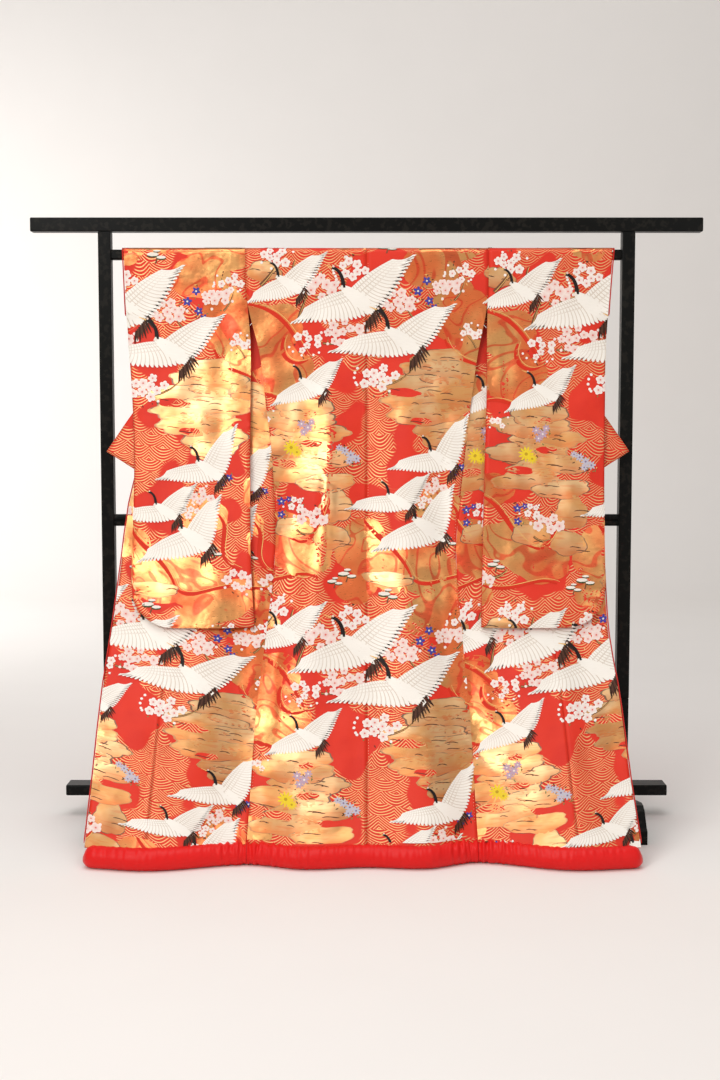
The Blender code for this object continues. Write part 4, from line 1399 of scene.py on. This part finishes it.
def build_front_shoulder(word, side):
    def flat(a, depth):
        return lerp(NECK_HALF + FOLD_SLOPE * depth, side_half(side, depth), a)

    def place(a, depth):
        x = side * flat(a, depth)
        y = wrap(depth) * (front_y(x, max(depth, WRAP_DEPTH)) - SHOULDER_CLEAR)
        return placed(x, y, height(depth))

    def cloth(a, depth):
        return side * flat(a, depth) + SHOULDER_SHIFT[0], depth + SHOULDER_SHIFT[1]

    def locate(u, v):
        depth = v - SHOULDER_SHIFT[1]
        start, stop = NECK_HALF + FOLD_SLOPE * depth, side_half(side, depth)
        return (side * (u - SHOULDER_SHIFT[0]) - start) / (stop - start), depth

    rows = WRAP_ROWS + spaced(WRAP_DEPTH, 0.310, GRID)
    panel = Panel(place, cloth, spaced(0.0, 1.0, 0.06), rows, side)
    name = "front_shoulder_" + word
    piece = shell("cloth_" + name, panel, LINED, (GROUND, LINING_SILK), [name])
    art = lay_design("figures_" + name, panel, locate, ((0.0, 1.0), (rows[0], rows[-1])), LINED / 2)


# ---- collars ---------------------------------------------------------------------------------
COLLAR_STAND = 0.0009                  # how far the collar's edge is off its seam line
COLLAR_SHIFTS, COLLAR_DROP = {-1: 0.36, 1: -0.02}, 0.66     # where the collars are in the repeat


def build_collar(word, side):
    def flat(a, share):
        x, depth = collar_seam(side, share)
        ahead, behind = collar_seam(side, min(1.0, share + 0.02)), collar_seam(side, share - 0.02)
        run, drop = ahead[0] - behind[0], ahead[1] - behind[1]
        length = math.hypot(run, drop)
        across = (drop / length, -run / length)
        width = min(COLLAR_WIDTH, max(0.012, (depth - 0.002) / max(0.1, -across[1])))
        far = lerp(COLLAR_STAND, width, a)
        return x + across[0] * far, depth + across[1] * far

    def place(a, share):
        x, depth = flat(a, share)
        return on_front(side * x, depth)

    def cloth(a, share):
        x, depth = flat(a, share)
        return side * x + COLLAR_SHIFTS[side], depth + COLLAR_DROP

    rows = spaced(0.03, 1.0, 0.0125)
    panel = Panel(place, cloth, spaced(0.0, 1.0, 0.125), rows, -side)
    name = "collar_" + word
    piece = shell("cloth_" + name, panel, LINED, (GROUND, GROUND), [name])


NECK_DEPTH = 0.064


def build_neck_collar():
    half = NECK_HALF - 0.002

    def place(a, depth):
        x = lerp(-half, half, a)
        sag = 0.010 * (1.0 - (x / half) ** 2) * smooth(depth / NECK_DEPTH)
        y = wrap(depth) * (WRAP_HALF + 0.0005)
        return placed(x, y + SEAM * 2 + BROCADE, height(depth + sag))

    def cloth(a, depth):
        return lerp(-half, half, a), depth + 0.30

    rows = [0.004, 0.008, 0.012] + spaced(0.016, NECK_DEPTH, 0.006)
    panel = Panel(place, cloth, spaced(0.0, 1.0, 0.06), rows, 1)
    piece = shell("cloth_collar_neck", panel, LINED, (GROUND, GROUND), ["collar_neck"])


# ---- sleeves ---------------------------------------------------------------------------------
SLEEVE_GAP = (LINED + 0.0006) / SLEEVE_OPEN[1]
SLEEVE_SHIFTS = {-1: (-0.018, -0.050), 1: (0.010, -0.040)}   # where each sleeve is in the repeat
REAR_SHIFT = (0.20, 0.40)                                   # and both sleeves' rear sides
CORNER_PULL = 0.05                                          # how far from its edges a sleeve closes


def build_sleeve(word, side):
    inner_low, outer_low = sleeve_edges(side, SLEEVE_LENGTH)
    shift = SLEEVE_SHIFTS[side]

    def rounded(a):
        into = (outer_low - inner_low) * (a - 1.0) + SLEEVE_CORNER
        if into <= 0.0:
            return 0.0
        return SLEEVE_CORNER - math.sqrt(max(0.0, SLEEVE_CORNER ** 2 - into ** 2))

    def drawn(a, depth):
        """The depth on the cloth after the lower corner is rounded."""
        if depth <= CUFF_DEPTH:
            return depth
        fall = (depth - CUFF_DEPTH) / (SLEEVE_LENGTH - CUFF_DEPTH)
        return CUFF_DEPTH + fall * (SLEEVE_LENGTH - rounded(a) - CUFF_DEPTH)

    def place(a, b):
        depth = drawn(a, abs(b))
        inner, outer = sleeve_edges(side, depth)
        x = side * lerp(inner, outer, a)
        layer = 0.0 if b >= 0.0 else 1.0
        to_low = SLEEVE_LENGTH - abs(b)
        sewn = smooth((abs(b) - CUFF_DEPTH + 0.02) / 0.02)
        to_side = (1.0 - a) * (outer - inner) + CORNER_PULL * (1.0 - sewn)
        close = lerp(SLEEVE_GAP, 1.0, math.sqrt(min(1.0, min(to_low, to_side) / CORNER_PULL)))
        layer = 0.5 + (layer - 0.5) * close
        opening = lerp(*SLEEVE_OPEN, smooth(depth / SLEEVE_OPEN_END))
        y = front_y(x, depth) - SLEEVE_CLEAR - opening * (1.0 - layer)
        y += creases(SLEEVE_CREASES, x, depth) + unevenness(x + side * 0.2, depth)
        # small gathers where the round corner is drawn in
        corner_x, corner_d = outer_low - SLEEVE_CORNER, SLEEVE_LENGTH - SLEEVE_CORNER
        run, drop = abs(x) - corner_x, depth - corner_d
        if run > 0.0 and drop > -0.02:
            far = math.hypot(run, drop) / SLEEVE_CORNER
            turn = math.atan2(drop, run)
            gather = smooth((far - 0.25) / 0.7) * smooth((drop + 0.02) / 0.03)
            y -= 0.0016 * gather * math.sin(turn * 15.0)
        return placed(x, y * wrap(depth), height(depth))

    def cloth(a, b):
        depth = drawn(a, abs(b))
        inner, outer = sleeve_edges(side, depth)
        x = side * lerp(inner, outer, a)
        if b >= 0.0:
            return x + shift[0], depth + shift[1]
        return x + REAR_SHIFT[0], depth + REAR_SHIFT[1]

    def locate_on(shift_u, shift_v, sign):
        def locate(u, v):
            x, depth = u - shift_u, v - shift_v
            inner, outer = sleeve_edges(side, max(0.0, depth))
            a = (side * x - inner) / (outer - inner)
            if depth > CUFF_DEPTH:
                rise = rounded(min(1.0, max(0.0, a)))
                fall = (depth - CUFF_DEPTH) / (SLEEVE_LENGTH - rise - CUFF_DEPTH)
                depth = CUFF_DEPTH + fall * (SLEEVE_LENGTH - CUFF_DEPTH)
            return a, sign * depth
        return locate

    down = WRAP_ROWS + spaced(WRAP_DEPTH, SLEEVE_LENGTH, GRID)
    rows = [-depth for depth in reversed(down)] + [0.0] + down
    panel = Panel(place, cloth, spaced(0.0, 0.93, 0.034) + [0.95, 0.97, 0.985, 1.0], rows, -side)
    name = "sleeve_" + word
    piece = shell("cloth_" + name, panel, LINED, (GROUND, LINING_SILK), [name])
    front = lay_design("figures_" + name, panel, locate_on(*shift, 1),
                       ((0.0, 1.0), (0.0, SLEEVE_LENGTH)), LINED / 2)
    rear = lay_design("figures_" + name + "_rear", panel, locate_on(*REAR_SHIFT, -1),
                      ((0.0, 1.0), (-SLEEVE_LENGTH, 0.0)), LINED / 2)
    # the red rolled edge of the cuff opening
    line = [panel.at(1.0, b, 0.0) for b in spaced(-CUFF_DEPTH + 0.012, CUFF_DEPTH - 0.012, 0.006)]
    aside = Vector((side * PIPING_REACH, 0.0, 0.0))
    tube("edge_cuff_" + word, [point_on + aside for point_on in line], PIPING, ["cuff_" + word])


# ---- rolled edges, hem roll, stitches --------------------------------------------------------
def tube_faces(rings, sides, outward=1):
    """The faces of a tube of rings of points, its two closed ends last."""
    faces = []
    for index in range(rings - 1):
        for step in range(sides):
            after, k = (step + 1) % sides, index * sides
            along = (k + after, k + sides + after, k + sides + step)
            faces.append((k + step, *along[::outward]))
    faces.append(tuple(range(sides))[::-outward])
    faces.append(tuple(range((rings - 1) * sides, rings * sides))[::outward])
    return faces


def tube(name, line, radius, replaced):
    """A round tube of lining silk along a line of points, closed at both ends."""
    points, sides = [], 8
    for index, centre in enumerate(line):
        along = (line[min(len(line) - 1, index + 1)] - line[max(0, index - 1)]).normalized()
        out = Vector((1.0, 0.0, 0.0))
        out = (out - along * out.dot(along)).normalized()
        other = along.cross(out)
        size = radius * (0.55 if index in (0, len(line) - 1) else 1.0)
        for step in range(sides):
            angle = 2 * math.pi * step / sides
            points.append(centre + out * math.cos(angle) * size + other * math.sin(angle) * size)
    mesh = new_mesh(name, points, tube_faces(len(line), sides))
    finished(name, mesh, [LINING_SILK], replaced)


PIPING_REACH = LINED / 2 + SEAM + PIPING   # from the cloth's edge to the middle of its rolled edge


def build_front_edge(word, side, front):
    line = []
    for b in spaced(len(COLLAR_ROWS) - 1, front.last - 1, 0.12):
        x, depth = front.flat(1.0, b)
        x2, depth2 = front.flat(0.99, b)
        edge, near = on_front(side * x, depth), on_front(side * x2, depth2)
        line.append(edge + (edge - near).normalized() * PIPING_REACH)
    tube("edge_front_" + word, line, PIPING, ["front_edge_" + word])


GATHERS = (  # middle x, half spread, height of the gathers
    (-0.301, 0.060, 0.0034),
    (-0.270, 0.130, 0.0016),
    (0.279, 0.070, 0.0040),
    (0.300, 0.150, 0.0016),
    (-0.130, 0.110, 0.0008),
    (0.060, 0.120, 0.0009),
    (0.520, 0.160, 0.0009),
    (-0.560, 0.160, 0.0008),
)


def gathered(x, angle):
    """How far the hem roll's silk stands in or out at a place: uneven upright gathers."""
    total = 0.0
    for middle, spread, tall in GATHERS:
        near = (x - middle) / spread
        if abs(near) < 2.2:
            wobble = 0.0022 * math.sin(angle * 2.0 + x * 40.0) + 0.0045 * math.sin(x * 97.0)
            uneven = 0.60 + 0.40 * math.sin(x * 149.0 + middle * 5.0)
            total += tall * math.exp(-near * near) * (
                0.55 * uneven * math.sin((x + wobble) * 2 * math.pi / 0.0131)
                + 0.60 * math.sin((x - wobble) * 2 * math.pi / 0.0227 + middle * 9.0))
    return total


def build_hem_roll(name, start, stop, round_start, round_stop):
    """A padded tube on the floor, flat underneath, round at the robe's own edges."""
    steps, sides = spaced(start, stop, 0.0026), 40
    points = []
    for x in steps:
        size = 1.0
        for end, is_round in ((start, round_start), (stop, round_stop)):
            gap = abs(x - end)
            if is_round:
                size *= math.sqrt(max(0.10, 1.0 - max(0.0, 1.0 - gap / 0.030) ** 2.6))
            else:
                size *= 1.0 - 0.075 * (1.0 - smooth(gap / 0.030))
        middle_y = RAIL_Y + back_y(x, CLOTH_LENGTH) - ROLL_AHEAD
        for step in range(sides):
            angle = 2 * math.pi * step / sides
            upward = 0.4 + 0.6 * max(0.0, math.sin(angle) + 0.4)
            swell = 1.0 + gathered(x, angle) / (ROLL_DEPTH / 2) * upward
            y = middle_y + math.cos(angle) * ROLL_DEPTH / 2 * size * swell
            middle_z = ROLL_HEIGHT / 2 * lerp(size, 1.0, 0.6)
            z = middle_z + math.sin(angle) * ROLL_HEIGHT * 0.515 * size * swell
            points.append(Vector((x, y, max(0.0, z))))
    mesh = new_mesh("padded_" + name, points, tube_faces(len(steps), sides, -1), 2)
    piece = finished("padded_" + name, mesh, [HEM_SILK], [name])


STITCH = (0.0030, 0.0009, 0.0005)      # long, wide, high
STITCH_TINT = (0.88, 0.70, 0.50, 1.0)


def seam_stitches(name, place, depths, spacing=0.0075):
    """A run of small stitches down the front of a seam."""
    forward = Vector((0.0, -1.0, 0.0))
    line = [place(depth) + forward * BROCADE / 2 for depth in depths]
    points, faces = [], []
    travelled, due = 0.0, 0.0
    for here, after in zip(line, line[1:]):
        length = (after - here).length
        along = (after - here).normalized()
        across = along.cross(forward).normalized()
        while due < travelled + length:
            centre = here + along * (due - travelled) + forward * 0.0003
            start = len(points)
            for step in range(6):
                angle = 2 * math.pi * step / 6
                points.append(centre + along * math.cos(angle) * STITCH[0] / 2
                              + across * math.sin(angle) * STITCH[1] / 2)
                turn = (start + step, start + (step + 1) % 6)
                faces += [(*turn, start + 6), (turn[1], turn[0], start + 7)]
            points += [centre + forward * STITCH[2], centre - forward * STITCH[2]]
            due += spacing
        travelled += length
    mesh = new_mesh(name, points, faces, len(faces), places=[spot.xz for spot in points])
    tint = mesh.attributes.new("tint", "FLOAT_COLOR", "POINT")
    tint.data.foreach_set("color", STITCH_TINT * len(points))
    finished(name, mesh, [THREAD])


# ---- put it together -------------------------------------------------------------------------
SIDE_INSET = 0.004                     # of the lining's edges, and of the hem roll's ends outward


def build_lining_back():
    def place(a, depth):
        left, right = (side_half(side, depth) - SIDE_INSET for side in (-1, 1))
        return on_back(lerp(-left, right, a), depth)

    rows = spaced(WRAP_DEPTH, CLOTH_LENGTH, GRID)
    panel = Panel(place, lambda a, depth: (a, depth), spaced(0.0, 1.0, 1 / 52), rows, -1)
    piece = shell("cloth_lining_back", panel, LINING, (LINING_SILK, LINING_SILK),
                  ["lining_back"], LINING_SHIFT)


def build_robe():
    for word, side in SIDES:
        build_back(word, side)
    build_lining_back()
    for word, side in SIDES:
        front = build_front(word, side)
        build_front_shoulder(word, side)
        build_collar(word, side)
        build_sleeve(word, side)
        build_front_edge(word, side, front)
    build_neck_collar()
    (left_seam, left_edge), (right_seam, right_edge) = (
        (side_half(side, CLOTH_LENGTH), edge_half(side, CLOTH_LENGTH)) for _, side in SIDES)
    build_hem_roll("hem_roll_left", -left_edge - SIDE_INSET, -left_seam - SEAM, True, False)
    build_hem_roll("hem_roll_back", -left_seam + SEAM, right_seam - SEAM, False, False)
    build_hem_roll("hem_roll_right", right_seam + SEAM, right_edge + SIDE_INSET, False, True)
    for word, side in SIDES:
        seam_stitches("stitches_side_" + word,
                      lambda depth, side=side: on_back(side * (side_half(side, depth) - 0.0045), depth),
                      spaced(0.34, 1.60, 0.01), 0.0085)
    seam_stitches("stitches_centre", lambda depth: on_back(0.0040, depth), spaced(0.06, 1.60, 0.01))


def build_rack():
    for name in ("top_bar", "hanging_rail", "middle_rail", "board", "post_left", "post_right",
                 "foot_post_left", "foot_post_right", "foot_left", "foot_right"):
        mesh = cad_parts[name].data
        mesh.materials.clear()
        mesh.materials.append(LACQUER)


WALL_Y, SWEEP_BEND, SWEEP_HALF, SWEEP_TOP, BEND_STEPS = 6.7, 1.4, 9.0, 10.0, 8
WARM = (1.0, 0.985, 0.965)
LIGHTS = (  # name, place, target, watts, side, colour
    ("key", (-2.3, -4.2, 3.2), (-0.1, 0.0, 0.8), 95.0, 2.0, (1.0, 0.985, 0.96)),
    ("fill", (2.6, -4.0, 2.2), (0.0, 0.0, 0.7), 16.0, 2.0, WARM),
    ("wall", (-4.2, 3.2, 2.6), (-3.0, 6.4, 0.2), 110.0, 1.8, (1.0, 1.0, 1.0)),
    ("wall_wide", (1.5, 2.4, 5.6), (0.6, 6.7, 1.6), 44.0, 2.6, (1.0, 1.0, 1.0)),
    ("top", (-0.4, -1.2, 4.8), (-0.4, -0.6, 0.0), 95.0, 3.2, (1.0, 1.0, 1.0)),
)


def build_sweep():
    """A pale paper floor that bends up into a wall far behind the rack."""
    profile = [(-SWEEP_HALF, 0.0)]
    for turn in spaced(0.0, math.pi / 2, math.pi / 2 / BEND_STEPS):
        profile.append((WALL_Y - SWEEP_BEND * (1.0 - math.sin(turn)),
                        SWEEP_BEND * (1.0 - math.cos(turn))))
    profile.append((WALL_Y, SWEEP_TOP))
    count = len(profile)
    points = [(x, y, z) for x in (-SWEEP_HALF, SWEEP_HALF) for y, z in profile]
    faces = [(k, k + 1, k + 1 + count, k + count) for k in range(count - 1)]
    sweep = linked("studio_sweep", new_mesh("studio_sweep", points, faces))
    shade = Shade("paper")
    grain = shade.noise(shade.own_place(), 3.0, 2.0).outputs[0]
    shade.set(Base_Color=shade.mix(grain, rgb(0.88, 0.845, 0.815), rgb(0.86, 0.825, 0.795)))
    shade.set(Roughness=0.85, Specular_IOR_Level=0.1)
    sweep.data.materials.append(shade.material)


def build_studio():
    """The sweep, one large soft front light, a fill, two lights on the wall and a faint world."""
    build_sweep()
    for name, place, target, energy, side, colour in LIGHTS:
        light = bpy.data.lights.new(name, "AREA")
        light.energy, light.color, light.size = energy, colour, side
        lamp = linked(name, light)
        lamp.location = place
        lamp.rotation_euler = (Vector(target) - Vector(place)).to_track_quat("-Z", "Y").to_euler()
    world = bpy.data.worlds.new("studio")
    world.use_nodes = True
    background = world.node_tree.nodes["Background"]
    background.inputs["Color"].default_value = (*WARM, 1.0)
    background.inputs["Strength"].default_value = 0.40
    bpy.context.scene.world = world
    bpy.context.scene.view_settings.view_transform = "Standard"


def build_camera():
    camera = bpy.data.cameras.new("camera")
    camera.lens, camera.sensor_fit = 50.0, "VERTICAL"
    camera.sensor_height, camera.sensor_width = 36.0, 36.0
    eye = linked("camera", camera)
    eye.location = (-0.018, RAIL_Y - 4.17, 1.105)
    eye.rotation_euler = (math.radians(85.5), 0.0, 0.0)
    bpy.context.scene.camera = eye


build_robe()
build_rack()
build_studio()
build_camera()
